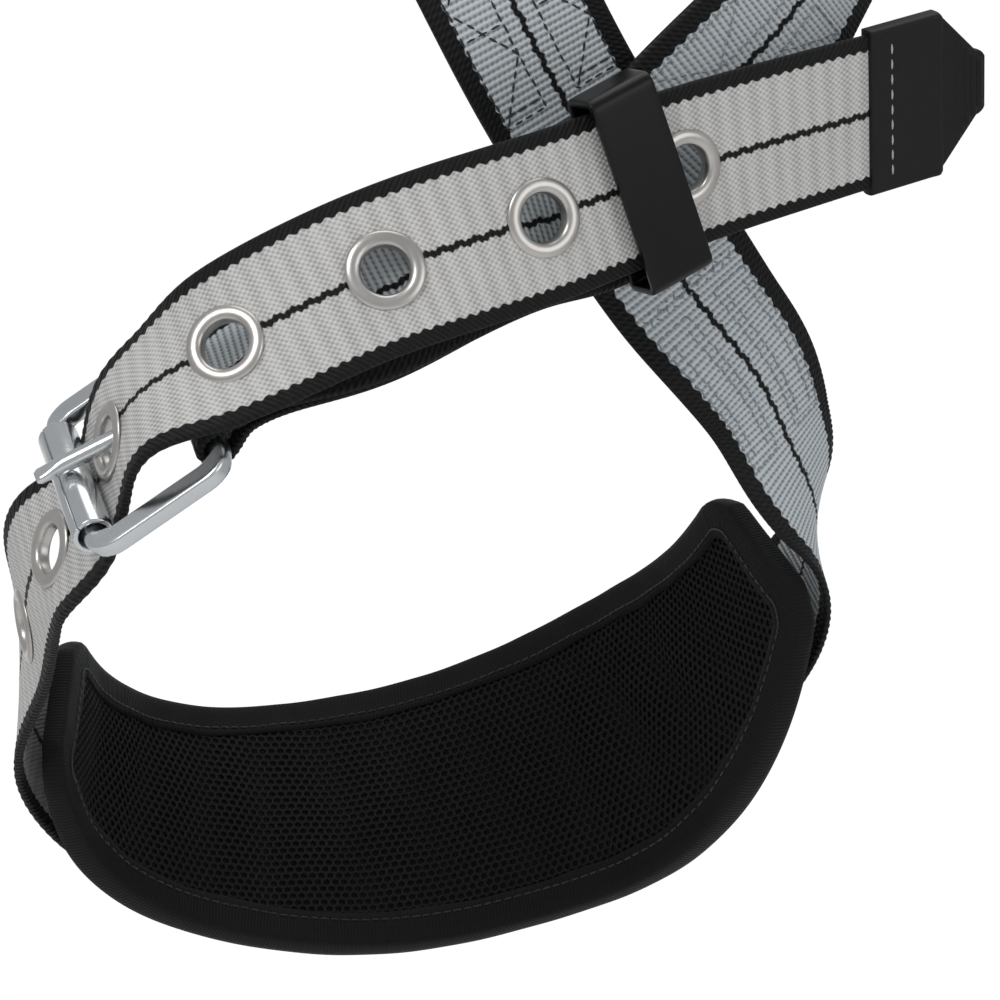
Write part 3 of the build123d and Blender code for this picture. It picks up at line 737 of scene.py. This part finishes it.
# the riser fold's cut end frays
rng = np.random.default_rng(7)
count = 150
across = np.sort(rng.uniform(-20.5, 20.5, count))
fray_len = rng.uniform(1.2, 3.6, count)
fray_lean = rng.normal(0, 0.28, count)
fray_lift = rng.uniform(-0.8, 0.9, count)
_, fray_run, fray_side, fray_normal = (v[0] for v in riser.frame(FOLD_END))
spots = riser.point(np.full(count, FOLD_END) + fray_len / 2 - 0.8, FOLD_IN + fray_lift, across)
fray_dip = rng.uniform(0, 0.25, count)
fray_runs = fray_run + fray_side * fray_lean[:, None] - fray_normal * fray_dip[:, None]
fray_normals = np.tile(fray_normal, (count, 1))
fray = threads("riser_fold_fray", spots, fray_runs, fray_normals, fray_len, 0.17, 0.2, 0.5)
dress(fray, grey_thread, "webbing_blue_grey", "loop")


# ---- stitching ----
def on_route(route, lift):
    def surface(s, u):
        return route.point(s, lift, u)[0], route.frame(s)[3][0]
    return surface


def box_with_zigzag(start, end, low, high, legs):
    """Outline of one sewn box with a zigzag inside it."""
    outline = [(start, low), (end, low), (end, high), (start, high), (start, low)]
    stops = np.linspace(start, end, legs + 1)
    zigzag = [(s, low if i % 2 else high) for i, s in enumerate(stops)]
    return [outline, zigzag]


def sew(name, surface, lines, material, slot, body, nodes=(), pitch=3.3, radius=0.36, gap=0.7):
    centres, runs, normals, lengths = seams(surface, lines, pitch, gap)
    piece = threads(name, centres, runs, normals, lengths, radius)
    return dress(piece, material, slot, body, *nodes)


fold_face = FOLD_IN + STRAP_T / 2 + 0.18
lines = box_with_zigzag(17, 86, -17, -5, 4) + box_with_zigzag(17, 86, 5, 17, 4)
lines += [[(s, low), (s, low + 11)] for s in (60, 83) for low in (-16.5, 5.5)]
sew(
    "riser_eye_stitches", on_route(riser, fold_face), lines,
    dark_thread, "thread_dark", "loop", ["stitch_riser_eye"],
)

face = STRAP_T / 2 + 0.16
zig = [(150 + (3.2 if i % 2 else 0), u) for i, u in enumerate(np.linspace(-16, 16, 23))]
lines = box_with_zigzag(157, 206, -16.5, -5, 2)[:1] + box_with_zigzag(157, 206, 5, 16.5, 2)[:1]
lines += [[(160, u), (203, u)] for u in (-13.8, -7.7, 7.7, 13.8)] + [zig]
sew(
    "thigh_box_stitches", on_route(riser, face), lines,
    grey_thread, "thread_grey", "loop", ["stitch_thigh_box"], 2.9, 0.33,
)

lines = box_with_zigzag(162, 214, -16, -4.5, 3) + box_with_zigzag(162, 214, 4.5, 16, 3)
sew(
    "anchor_box_stitches", on_route(anchor, half_in + face), lines,
    grey_thread, "thread_grey", "loop", ["stitch_anchor_box"], 3.0, 0.34,
)

end = tongue.length
lines = box_with_zigzag(end - 62, end - 4, -17, 17, 4) + [[(end - 33, -16), (end - 33, 16)]]
sew(
    "pad_end_stitches", on_route(tongue, face), lines,
    dark_thread, "thread_dark", "loop", ["stitch_pad_end"],
)


# ---- leg pad ----
def foam_depth(s):
    edge = np.minimum(np.minimum(s, pad.length - s), 60.0) / 60.0
    return FOAM_END_T + (FOAM_T - FOAM_END_T) * np.sin(np.clip(edge, 0, 1) * math.pi / 2)


PAD_TOP = 1.0           # the padded body starts this far under the pad's inner face
END_R = 11.0            # corner radius of the pad's ends


def pad_half(s):
    """Half the pad's width, drawn in to round corners at both ends."""
    near = np.clip(np.minimum(s, pad.length - s), 0, END_R)
    return pad.width(s) / 2 - (END_R - np.sqrt(np.maximum(END_R**2 - (END_R - near) ** 2, 0)))


def pad_body():
    """The foam in its cover as a structured closed mesh: rows along the pad, columns across."""
    rows = np.linspace(0.6, pad.length - 0.6, 68)
    cols = np.linspace(-1, 1, 21)
    S, V = np.meshgrid(rows, cols, indexing="ij")
    U = V * (pad_half(S.ravel()).reshape(S.shape) - 0.9)
    deep = (2 * SKIN_T + 2 * PAD_GAP + foam_depth(S.ravel())).reshape(S.shape)
    front = pad.point(S.ravel(), -PAD_TOP, U.ravel()).reshape(*S.shape, 3)
    back = pad.point(S.ravel(), -deep.ravel() + 0.4, U.ravel()).reshape(*S.shape, 3)
    lay = np.tile(np.stack([U.ravel(), S.ravel()], -1), (2, 1))
    return (*shell("leg_pad_padding", front, back, lay), S.shape)


padding, rim, (pad_rows, pad_cols) = pad_body()
flat_at = np.array([v.co for v in padding.data.vertices])
pinned = padding.vertex_groups.new(name="sewn edge")
pinned.add([int(i) for i in rim] + [int(i) + pad_rows * pad_cols for i in rim], 1.0, "REPLACE")
puff = padding.modifiers.new("puff", "CLOTH")
cloth = puff.settings
cloth.quality = 6
cloth.mass = 0.2
cloth.tension_stiffness = cloth.compression_stiffness = cloth.shear_stiffness = 25
cloth.bending_stiffness = 1.5
cloth.vertex_group_mass = "sewn edge"
cloth.use_pressure = True
cloth.uniform_pressure_force = 5.0
cloth.effector_weights.gravity = 0.0
puff.collision_settings.use_collision = False
puff.point_cache.frame_start, puff.point_cache.frame_end = 1, 20
scene = bpy.context.scene
for number in range(1, 21):
    scene.frame_set(number)
shown = padding.evaluated_get(bpy.context.evaluated_depsgraph_get())
moved = np.array([v.co for v in shown.data.vertices])
padding.modifiers.remove(puff)
scene.frame_set(1)
push = moved - flat_at
reach = np.linalg.norm(push, axis=1)
cap = np.full(len(push), 3.2 * MM)
count = pad_rows * pad_cols
pad_lay = np.zeros(len(push) * 3, np.float32)
padding.data.attributes["lay"].data.foreach_get("vector", pad_lay)
pad_lay = pad_lay.reshape(-1, 3)
# on its outer side the pad is held flat under the straps sewn to it
cap[count:] = (0.5 + 2.3 * smooth((np.abs(pad_lay[count:, 0]) - 22) / 8)) * MM
push *= np.minimum(1, cap / np.maximum(reach, 1e-9))[:, None]
flat_mm = (flat_at + push) / MM


def dents(s, u):
    """Soft hollows and folds of padding that has been worn."""
    soft = 0.5 * np.sin(s / 17 + u / 25) * np.sin(u / 15 - s / 41)
    soft += 0.35 * np.sin(s / 9.5 - u / 12)
    fold = sum(
        deep * np.exp(-(((s - at + lean * u) / wide) ** 2))
        for at, lean, wide, deep in ((226, 0.7, 7, 1.0), (250, 0.5, 6, 0.7), (196, -0.6, 8, 0.6))
    )
    return soft * 0.8 - fold


centre_normals = pad.frame(pad_lay[:, 1])[3]
inward = smooth((pad_half(pad_lay[:, 1]) - 6 - np.abs(pad_lay[:, 0])) / 10)
worn = dents(pad_lay[:, 1], pad_lay[:, 0]) * inward
worn[count:] = 0
flat_mm = flat_mm + centre_normals * worn[:, None]
padding.data.vertices.foreach_set("co", (flat_mm * MM).ravel())
padding.data.update()


def surface_of(points):
    """Smooth points and outward normals on a structured face, by (distance, share across)."""
    grid = points.reshape(pad_rows, pad_cols, 3)

    def weights(t):
        t = t[..., None]
        return np.concatenate([
            -0.5 * t + t**2 - 0.5 * t**3, 1 - 2.5 * t**2 + 1.5 * t**3,
            0.5 * t + 2 * t**2 - 1.5 * t**3, -0.5 * t**2 + 0.5 * t**3,
        ], -1)

    def at(s, u):
        s, u = np.broadcast_arrays(np.asarray(s, float), np.asarray(u, float))
        x = np.clip((s - 0.6) / (pad.length - 1.2) * (pad_rows - 1), 0, pad_rows - 1 - 1e-6)
        half = pad_half(np.clip(s, 0.6, pad.length - 0.6).ravel()).reshape(s.shape) - 0.9
        y = np.clip((u / half + 1) / 2 * (pad_cols - 1), 0, pad_cols - 1 - 1e-6)
        i, j = x.astype(int), y.astype(int)
        wx, wy = weights(x - i), weights(y - j)
        out = 0
        for a in range(4):
            for b in range(4):
                rows = np.clip(i + a - 1, 0, pad_rows - 1)
                cols = np.clip(j + b - 1, 0, pad_cols - 1)
                out = out + grid[rows, cols] * (wx[..., a] * wy[..., b])[..., None]
        return out
    return at


front_at, back_at = surface_of(flat_mm[:count]), surface_of(flat_mm[count:])


def face_normal(at, s, u, outward):
    ds = at(s + 1.5, u) - at(s - 1.5, u)
    du = at(s, u + 1.5) - at(s, u - 1.5)
    normal = unit(np.cross(ds, du))
    along = pad.frame(np.clip(np.ravel(s), 0, pad.length))[3].reshape(normal.shape)
    sign = np.sign((normal * along).sum(-1, keepdims=True)) * outward
    return normal * sign


rounder = padding.modifiers.new("smooth", "SUBSURF")
rounder.levels = rounder.render_levels = 1
bpy.context.view_layer.objects.active = padding
bpy.ops.object.modifier_apply(modifier=rounder.name)
dress(padding, cover_cloth, "leg_pad_outer_cover", "loop", "leg_pad_foam", "leg_pad_outer_cover")


def spacer_mesh():
    """The airy inner face: a net of staggered holes, each cell a rounded hexagon of yarn."""
    a, b, rise = 2.7, 2.25, 0.95
    hexagon = [(0, 2 / 3), (0.5, 1 / 3), (0.5, -1 / 3), (0, -2 / 3), (-0.5, -1 / 3), (-0.5, 1 / 3)]
    corner_keys = [(0, 2), (1, 1), (1, -1), (0, -2), (-1, -1), (-1, 1)]
    keys, spots, rims, edges = {}, [], [], {}
    for j in range(-20, 21):
        for i in range(1, int(pad.length / a)):
            s, u = (i + 0.5 * (j % 2)) * a, j * b
            if not 6 < s < pad.length - 6 or abs(u) > pad_half(s)[0] - 6.0:
                continue
            ring = []
            for (x, y), (kx, ky) in zip(hexagon, corner_keys):
                key = (2 * i + j % 2 + kx, 3 * j + ky)
                if key not in keys:
                    keys[key] = len(spots)
                    spots.append((s + x * a, u + y * b))
                ring.append(keys[key])
            rims.append((s, u, ring))
            for one, two in zip(ring, ring[1:] + ring[:1]):
                pair = (min(one, two), max(one, two))
                edges[pair] = edges.get(pair, 0) + 1
    spots = np.array(spots)
    outer = len(spots)
    holes = np.array([
        (s + x * a * 0.64, u + y * b * 0.66) for s, u, _ in rims for x, y in hexagon
    ])
    flat = np.concatenate([spots, holes])
    base = front_at(flat[:, 0], flat[:, 1])
    normal = face_normal(front_at, flat[:, 0], flat[:, 1], 1)
    height = np.concatenate([np.full(outer, rise), np.full(len(holes), rise - 0.28)])
    top, low = base + normal * height[:, None], base + normal * 0.12
    count = len(flat)
    ring = np.array([r for _, _, r in rims])
    inner = outer + np.arange(len(rims) * 6).reshape(-1, 6)
    ring2, inner2 = np.roll(ring, -1, 1), np.roll(inner, -1, 1)
    tops = np.stack([ring, ring2, inner2, inner], -1).reshape(-1, 4)
    walls = np.stack([inner, inner2, inner2 + count, inner + count], -1).reshape(-1, 4)
    border = np.array([pair for pair, used in edges.items() if used == 1])
    hems = np.stack([border[:, 0], border[:, 1], border[:, 1] + count, border[:, 0] + count], -1)
    lay = np.tile(flat[:, ::-1], (2, 1))
    polys = [tops, tops[:, ::-1] + count, walls, hems]
    return mesh_object("leg_pad_spacer_mesh", np.concatenate([top, low]), polys, lay)


dress(spacer_mesh(), net_yarn, "leg_pad_mesh_face", "loop", "leg_pad_mesh_face")


def pad_outline(step=1.0):
    """Points round the pad's edge as (distance, across) with the way in."""
    r, far = END_R, pad.length
    s = np.array(spaced(r, far - r, step))
    side = np.stack([s, pad_half(s)], -1)
    turns = np.linspace(0, math.pi / 2, 14)[1:]
    w0, w1 = pad.width(0.0)[0] / 2, pad.width(far)[0] / 2
    corner = np.stack([far - r + r * np.sin(turns), w1 - r + r * np.cos(turns)], -1)
    corner[:, 1] += (side[-1, 1] - w1) * (1 - np.sin(turns))
    end_run = np.array([(far, u) for u in spaced(w1 - r, -(w1 - r), step)[1:-1]])
    start_corner = np.stack([r - r * np.sin(turns), w0 - r + r * np.cos(turns)], -1)
    start_corner[:, 1] += (side[0, 1] - w0) * (1 - np.sin(turns))
    start_run = np.array([(0.0, u) for u in spaced(-(w0 - r), w0 - r, step)[1:-1]])
    flip = np.array([1, -1])
    line = np.concatenate([
        side, corner, end_run, corner[::-1] * flip, side[::-1] * flip, start_corner * flip,
        start_run, start_corner[::-1],
    ])
    run = unit(np.roll(line, -2, 0) - np.roll(line, 2, 0))
    return line, np.stack([run[:, 1], -run[:, 0]], -1)


outline, way_in = pad_outline()
walked = np.concatenate([[0], np.cumsum(np.linalg.norm(np.diff(outline, axis=0), axis=1))])
BIND_W, BIND_T = 10.4, 0.7
TAPE_ROWS = ((BIND_W, 0.0), (8.8, 0.12), (8.0, -0.02), (6.5, 0.12), (4.0, 0.15), (1.8, 0.05))
TAPE_EDGE = ((0.0, 0.75), (0.25, 1.15), (0.5, 1.3), (0.75, 1.15), (1.0, 0.75))


def binding():
    """Ribbed ribbon folded over the pad's edge, swept once round it."""
    def row(at, depth, lift, outward):
        spot = outline + way_in * depth
        return at(spot[:, 0], spot[:, 1]) + face_normal(at, spot[:, 0], spot[:, 1], outward) * lift

    wave = 0.25 * np.sin(walked / 9.0)[:, None] + 0.15 * np.sin(walked / 3.7)[:, None]
    mid_frame = pad.frame(np.clip(outline[:, 0], 0, pad.length))
    out3d = unit(mid_frame[1] * -way_in[:, :1] + mid_frame[2] * -way_in[:, 1:])
    profile, across = [], []
    for side_at, outward, order in ((front_at, 1, 1), (back_at, -1, -1)):
        lift = 1.25 if outward == 1 else 0.25
        rows = [
            row(side_at, d + (wave if d > 8 else 0), lift + extra, outward) for d, extra in TAPE_ROWS
        ]
        profile += rows[::order]
        across += [outward * d for d, _ in TAPE_ROWS][::order]
        if outward == 1:
            f, b = row(front_at, 0.4, 0.9, 1), row(back_at, 0.4, 0.1, -1)
            for share, push_out in TAPE_EDGE:
                profile.append(f + (b - f) * share + out3d * push_out)
                across.append(0.8 - 1.6 * share)
    outer = np.stack(profile, 1)
    tangent = np.gradient(outer, axis=1)
    forward = unit(np.roll(outer, -1, 0) - np.roll(outer, 1, 0))
    normal = unit(np.cross(forward, tangent))
    middle = outer.mean(1, keepdims=True)
    sign = np.sign(((outer - middle) * normal).sum(-1)[:, len(across) // 2])
    inner = outer - normal * sign[:, None, None] * BIND_T
    rings = np.concatenate([outer, inner[:, ::-1]], 1)
    ribs = 0.05 * np.cos(TAU * walked / 1.05)[:, None, None] * normal * sign[:, None, None]
    rings[:, : len(across)] += ribs
    across = np.array(across)
    places = np.tile(np.concatenate([across, across[::-1]]), len(rings))
    lay = np.stack([places, np.repeat(walked, 2 * len(across))], -1)
    return sweep("leg_pad_binding_tape", rings, closed=True, lay=lay)


dress(binding(), grosgrain, "leg_pad_binding", "loop", "leg_pad_binding")


def edge_stitches(depth, pitch=3.2):
    centres, runs, normals = [], [], []
    line = outline + way_in * depth
    for at, outward, lift in ((front_at, 1, 1.5), (back_at, -1, 0.5)):
        where = np.arange(pitch / 2, walked[-1], pitch)
        spot = np.stack([np.interp(where, walked, line[:, c]) for c in (0, 1)], -1)
        ahead = np.stack([np.interp(where + 0.8, walked, line[:, c]) for c in (0, 1)], -1)
        normal = face_normal(at, spot[:, 0], spot[:, 1], outward)
        here = at(spot[:, 0], spot[:, 1])
        centres.append(here + normal * lift)
        runs.append(at(ahead[:, 0], ahead[:, 1]) - here + 1e-6)
        normals.append(normal)
    rows = (np.concatenate(v) for v in (centres, runs, normals))
    return threads("leg_pad_binding_stitches", *rows, 2.5, 0.30)


dress(edge_stitches(7.9), black_thread, "leg_pad_binding", "loop")


# ---- grommets ----
EYELET = [
    (10.7, 1.12), (10.72, 1.32), (10.55, 1.62), (10.1, 1.93), (9.4, 2.17), (8.6, 2.25), (7.8, 2.15),
    (7.15, 1.86), (6.75, 1.42), (6.56, 0.85), (6.5, 0.0), (6.5, -1.3), (6.58, -1.85), (6.85, -2.15),
    (7.3, -2.22), (7.75, -2.1), (7.8, -1.95), (7.35, -1.9), (7.1, -1.6), (7.1, 0.6), (7.25, 0.95),
    (7.7, 1.12),
]
WASHER = [
    (7.2, -1.16), (10.0, -1.14), (10.15, -1.3), (10.1, -1.62), (9.8, -1.82), (9.0, -1.92),
    (8.0, -1.9),
    (7.3, -1.75), (7.16, -1.5),
]
for number, s in enumerate(grommets, start=1):
    centre, _, _, normal = (v[0] for v in tongue.frame(s))
    eyelet = lathe(f"grommet_eyelet_{number}", EYELET, centre, normal)
    dress(eyelet, nickel, "eyelet_nickel", "loop", f"eyelet_{number}")
    washer = lathe(f"grommet_washer_{number}", WASHER, centre, normal, 48)
    dress(washer, nickel_back, "washer_nickel", "loop", f"washer_{number}")


# ---- buckle ----
def oval(width, height, power, count=28):
    """A rounded section: power 2 is an ellipse, more is squarer."""
    t = np.linspace(0, TAU, count, endpoint=False)
    c, s = np.cos(t), np.sin(t)
    x, y = (np.sign(v) * np.abs(v) ** (2 / power) for v in (c, s))
    return np.stack([width / 2 * x, height / 2 * y], -1)


def loop_line(long, wide, radius, step=1.0):
    """A rounded rectangle centred on zero: points and the outward direction at each."""
    points, outward = [], []
    x, y = long / 2 - radius, wide / 2 - radius
    for cx, cy, first in ((x, y, 0), (-x, y, 1), (-x, -y, 2), (x, -y, 3)):
        for a in np.linspace(0, math.pi / 2, 9) + first * math.pi / 2:
            points.append((cx + radius * math.cos(a), cy + radius * math.sin(a)))
            outward.append((math.cos(a), math.sin(a)))
        nx, ny = [(-x, y), (-x, -y), (x, -y), (x, y)][first]
        sx, sy = points[-1]
        ox, oy = outward[-1]
        ex, ey = nx + radius * ox, ny + radius * oy
        for t in spaced(0, 1, step / max(math.hypot(ex - sx, ey - sy), step))[1:-1]:
            points.append((sx + (ex - sx) * t, sy + (ey - sy) * t))
            outward.append((ox, oy))
    return np.array(points), np.array(outward)


line, outward = loop_line(REACH, 59.0, 6.5)
rings = []
for (x, y), (ox, oy) in zip(line, outward):
    armness = float(smooth((abs(y) - 25.4) / 3.0))
    section = oval(6.0 + 1.0 * armness, 6.0 - 1.0 * armness, 2.0 + 3.0 * armness)
    centre = by_buckle(x - REACH / 2, 0, y)
    way = arm_dir * ox + bar_dir * oy
    rings.append(centre + way * section[:, :1] + out_dir * section[:, 1:])
frame_piece = sweep("buckle_frame_forged", rings, closed=True)
dress(frame_piece, zinc, "buckle_frame_steel", "loop", "buckle_frame")

ROLLER = [
    (5.5, -22.6), (5.5, 22.6), (5.35, 22.95), (5.0, 23.0), (4.4, 23.0), (4.2, 22.8),
    (4.2, -22.8), (4.4, -23.0),
    (5.0, -23.0), (5.35, -22.95),
]
roller_mid = by_buckle(-REACH, 0)
roller = lathe("buckle_roller_tube", ROLLER, roller_mid, bar_dir, 72, 0.05, TAU - 0.05)
dress(roller, zinc_roller, "buckle_roller_steel", "roller", "buckle_roller")

curl = [(4.25 * math.cos(a), 4.25 * math.sin(a)) for a in np.radians(np.arange(-150, 86, 15))]
wire_root, wire_tip = np.array([-3.2, 2.0]), np.array([-REACH - 6.5, 5.5 + 2.4 + 0.3 + 1.3])
shares = (0.27, 0.36, 0.46, 0.56, 0.66, 0.76, 0.86, 0.93, 1.0)
straight = [tuple(wire_root + (wire_tip - wire_root) * t) for t in shares]
guide = np.array(curl + [(-5.0, 4.15), (-9.5, 3.75)] + straight)
spline = Route([(x, y, 0, 0, 0, 1) for x, y in guide])
rings = []
for q in np.linspace(0, spline.length, 130):
    (x, y, _), run = spline.point(q)[0], spline.frame(q)[1][0]
    wire = float(smooth((-x - 1.0) / 9.0)) if q > 14 else 0.0
    left = spline.length - q
    flatten = float(smooth((9 - left) / 8))
    height = (2.1 + 2.7 * wire) * (1 - 0.42 * flatten)
    height *= 1 - 0.45 * float(smooth((1.2 - left) / 1.2))
    width = (6.9 - 2.1 * wire) * (1 + 0.10 * flatten)
    width *= 1 - 0.22 * float(smooth((1.0 - left) / 1.0))
    section = oval(width, height, 3.2 - 1.2 * wire + 1.0 * flatten)
    up = np.array([-run[1], run[0]])
    across_way = arm_dir * up[0] + out_dir * up[1]
    centre = by_buckle(x, y)
    top = across_way if float(across_way @ out_dir) > 0 or q < 14 else -across_way
    rings.append(centre + bar_dir * section[:, :1] + top * section[:, 1:])
tongue_wire = sweep("buckle_tongue_wire", rings)
dress(tongue_wire, zinc_tongue, "buckle_tongue_steel", "tongue", "buckle_tongue")


# ---- keeper ----
KEEP_IN, KEEP_FRONT, KEEP_BACK, KEEP_WALL, KEEP_W, KEEP_SKEW = 52.6, 3.8, 5.0, 2.4, 20.0, -9.0
centre, run, side, normal = (v[0] for v in tongue.frame(keeper_at))
lean = math.radians(KEEP_SKEW)
k_run = run * math.cos(lean) + side * math.sin(lean)
k_side = np.cross(normal, k_run)
k_mid = centre + normal * (KEEP_FRONT - KEEP_BACK) / 2
line, outward = loop_line(KEEP_IN + KEEP_WALL, KEEP_FRONT + KEEP_BACK + KEEP_WALL, 1.9, 1.6)
section = oval(KEEP_W, KEEP_WALL, 9.0, 44)
rings = []
for (x, y), (ox, oy) in zip(line, outward):
    bow = 0.25 * (1 - (x / 27.5) ** 2) * (1 if y > 0 else 0.4)
    way = k_side * ox + normal * oy
    middle = k_mid + k_side * x + normal * (y + bow * np.sign(y))
    rings.append(middle + k_run * section[:, :1] + way * section[:, 1:])
keeper_piece = sweep("keeper_loop", rings, closed=True)
dress(keeper_piece, keeper_plastic, "keeper", "keeper", "keeper")


# ---- moulded tip ----
TIP_W, TIP_BODY, TIP_LEN, TIP_END_W = 48.0, 24.0, 41.0, 18.0
t_centre, t_run, t_side, t_normal = (v[0] for v in tongue.frame(0.0))
t_out = -t_run
t_base = t_centre - t_out * 3.0


def tip_half(x):
    taper = np.interp(x, [0, TIP_BODY, TIP_LEN - 3.2], [TIP_W / 2, TIP_W / 2, TIP_END_W / 2 + 0.6])
    near = np.clip(TIP_LEN - x, 0, 3.2)
    return taper - 3.4 * (1 - np.sqrt(np.maximum(1 - (1 - near / 3.2) ** 2, 0)))


def tip():
    """A moulded cap: full-width body, a ridge, a lower tapered end and grip ribs."""
    x = np.unique(np.round(np.concatenate([
        [0, 0.15, 0.45, 0.9], np.arange(1.5, 21, 1.5), np.arange(21, 27.5, 0.25),
        np.arange(27.5, 30, 0.5),
        np.arange(30, TIP_LEN - 0.6, 0.2), [40.6, 40.8, 40.93, TIP_LEN],
    ]), 3))
    v = np.sin(np.linspace(-1, 1, 61) * math.pi / 2)
    X, V = np.meshgrid(x, v, indexing="ij")
    half = tip_half(X.ravel()).reshape(X.shape)
    Y = V * half
    top = 2.75 - 1.15 * smooth((X - 24.6) / 0.9) + 0.25 * np.exp(-(((X - 23.2) / 1.1) ** 2))
    top -= 0.35 * np.exp(-(((X - 7.0) / 0.55) ** 2)) * (np.abs(Y) < 20)
    on_grip = smooth((X - 31.0) / 0.5) * smooth((39.8 - X) / 0.5)
    on_grip = on_grip * smooth((half - 1.8 - np.abs(Y)) / 0.8)
    top += on_grip * (0.35 + 0.4 * np.clip(np.cos(TAU * (X - 32.2) / 2.2), -0.4, 1))
    low = -2.75 + 0.9 * smooth((X - 24.6) / 6)
    inset = np.minimum(half - np.abs(Y), np.minimum(X, TIP_LEN - X) * 1.0)
    round_off = np.sqrt(np.clip(1 - (1 - np.clip(inset, 0, 1.0)) ** 2, 0, 1))
    top, low = top * (0.30 + 0.70 * round_off), low * (0.30 + 0.70 * round_off)

    def put(Z):
        return t_base + t_out * X[..., None] + t_side * Y[..., None] + t_normal * Z[..., None]
    return shell("strap_tip_moulded", put(top), put(low))[0]


dress(tip(), tip_plastic, "strap_tip", "tail", "strap_tip")
spots, ways = [], []
for face_sign in (1, -1):
    for i in range(9):
        y = (i - 4) * 4.4
        lift = 2.62 if face_sign > 0 else 2.8
        spots.append(t_base + t_out * 7.0 + t_side * y + t_normal * face_sign * lift)
        ways.append(t_normal * face_sign)
tip_thread = threads("strap_tip_stitches", spots, np.tile(t_side, (18, 1)), ways, 3.3, 0.36)
dress(tip_thread, light_thread, "thread_light", "tail", "stitch_tip")


# ---- stage ----
def studio():
    """A pale floor below the hanging object, soft lights, a bright world light and the camera."""
    mesh = bpy.data.meshes.new("studio_floor")
    bm = bmesh.new()
    bmesh.ops.create_circle(bm, cap_ends=True, radius=1.6, segments=96)
    bm.to_mesh(mesh)
    bm.free()
    floor = bpy.data.objects.new("studio_floor", mesh)
    floor.location = (0.0, 0.1, -0.75)
    bpy.context.scene.collection.objects.link(floor)
    k = Look("studio paper", specular_ior_level=0.1)
    k.colour(k.mix(k.noise(k.place(), 3.0), (0.93, 0.93, 0.93), (0.96, 0.96, 0.96)))
    k.rough(k.scale(k.noise(k.place(), 40.0), 0.85, 0.95))
    mesh.materials.append(k.mat)

    aim = Vector((0.0, 0.05, -0.17))
    for name, spot, size, power in (
        ("key", (-0.75, -1.15, 0.75), 0.8, 7.0),
        ("fill", (1.15, -0.95, 0.05), 1.0, 2.6),
        ("top", (0.1, 0.15, 1.25), 1.2, 5.0),
    ):
        lamp = bpy.data.lights.new(name, "AREA")
        lamp.shape, lamp.size, lamp.energy = "DISK", size, power
        holder = bpy.data.objects.new(name, lamp)
        bpy.context.scene.collection.objects.link(holder)
        holder.location = spot
        holder.rotation_euler = (aim - Vector(spot)).to_track_quat("-Z", "Y").to_euler()
    world = bpy.data.worlds.new("soft room")
    bpy.context.scene.world = world
    world.use_nodes = True
    sky = next(n for n in world.node_tree.nodes if n.type == "BACKGROUND")
    sky.inputs["Color"].default_value = (0.98, 0.99, 1.0, 1.0)
    nodes, links = world.node_tree.nodes, world.node_tree.links
    kinds = ("TexCoord", "SeparateXYZ", "MapRange")
    way, apart, ramp = (nodes.new("ShaderNode" + kind) for kind in kinds)
    links.new(way.outputs["Generated"], apart.inputs[0])
    links.new(apart.outputs["Y"], ramp.inputs["Value"])
    brightness = {"From Min": 0.82, "From Max": 0.95, "To Min": 0.42, "To Max": 1.05}
    for socket, value in brightness.items():
        ramp.inputs[socket].default_value = value
    links.new(ramp.outputs[0], sky.inputs["Strength"])
    lens = bpy.data.cameras.new("camera")
    lens.sensor_width, lens.lens = 36.0, 139.68
    lens.clip_start, lens.clip_end = 0.05, 20.0
    camera = bpy.data.objects.new("camera", lens)
    bpy.context.scene.collection.objects.link(camera)
    camera.location = (0.017, -1.038, -0.186)
    camera.rotation_euler = (math.pi / 2, 0, 0)
    bpy.context.scene.camera = camera
    bpy.context.scene.view_settings.view_transform = "Standard"


studio()
bpy.context.view_layer.update()
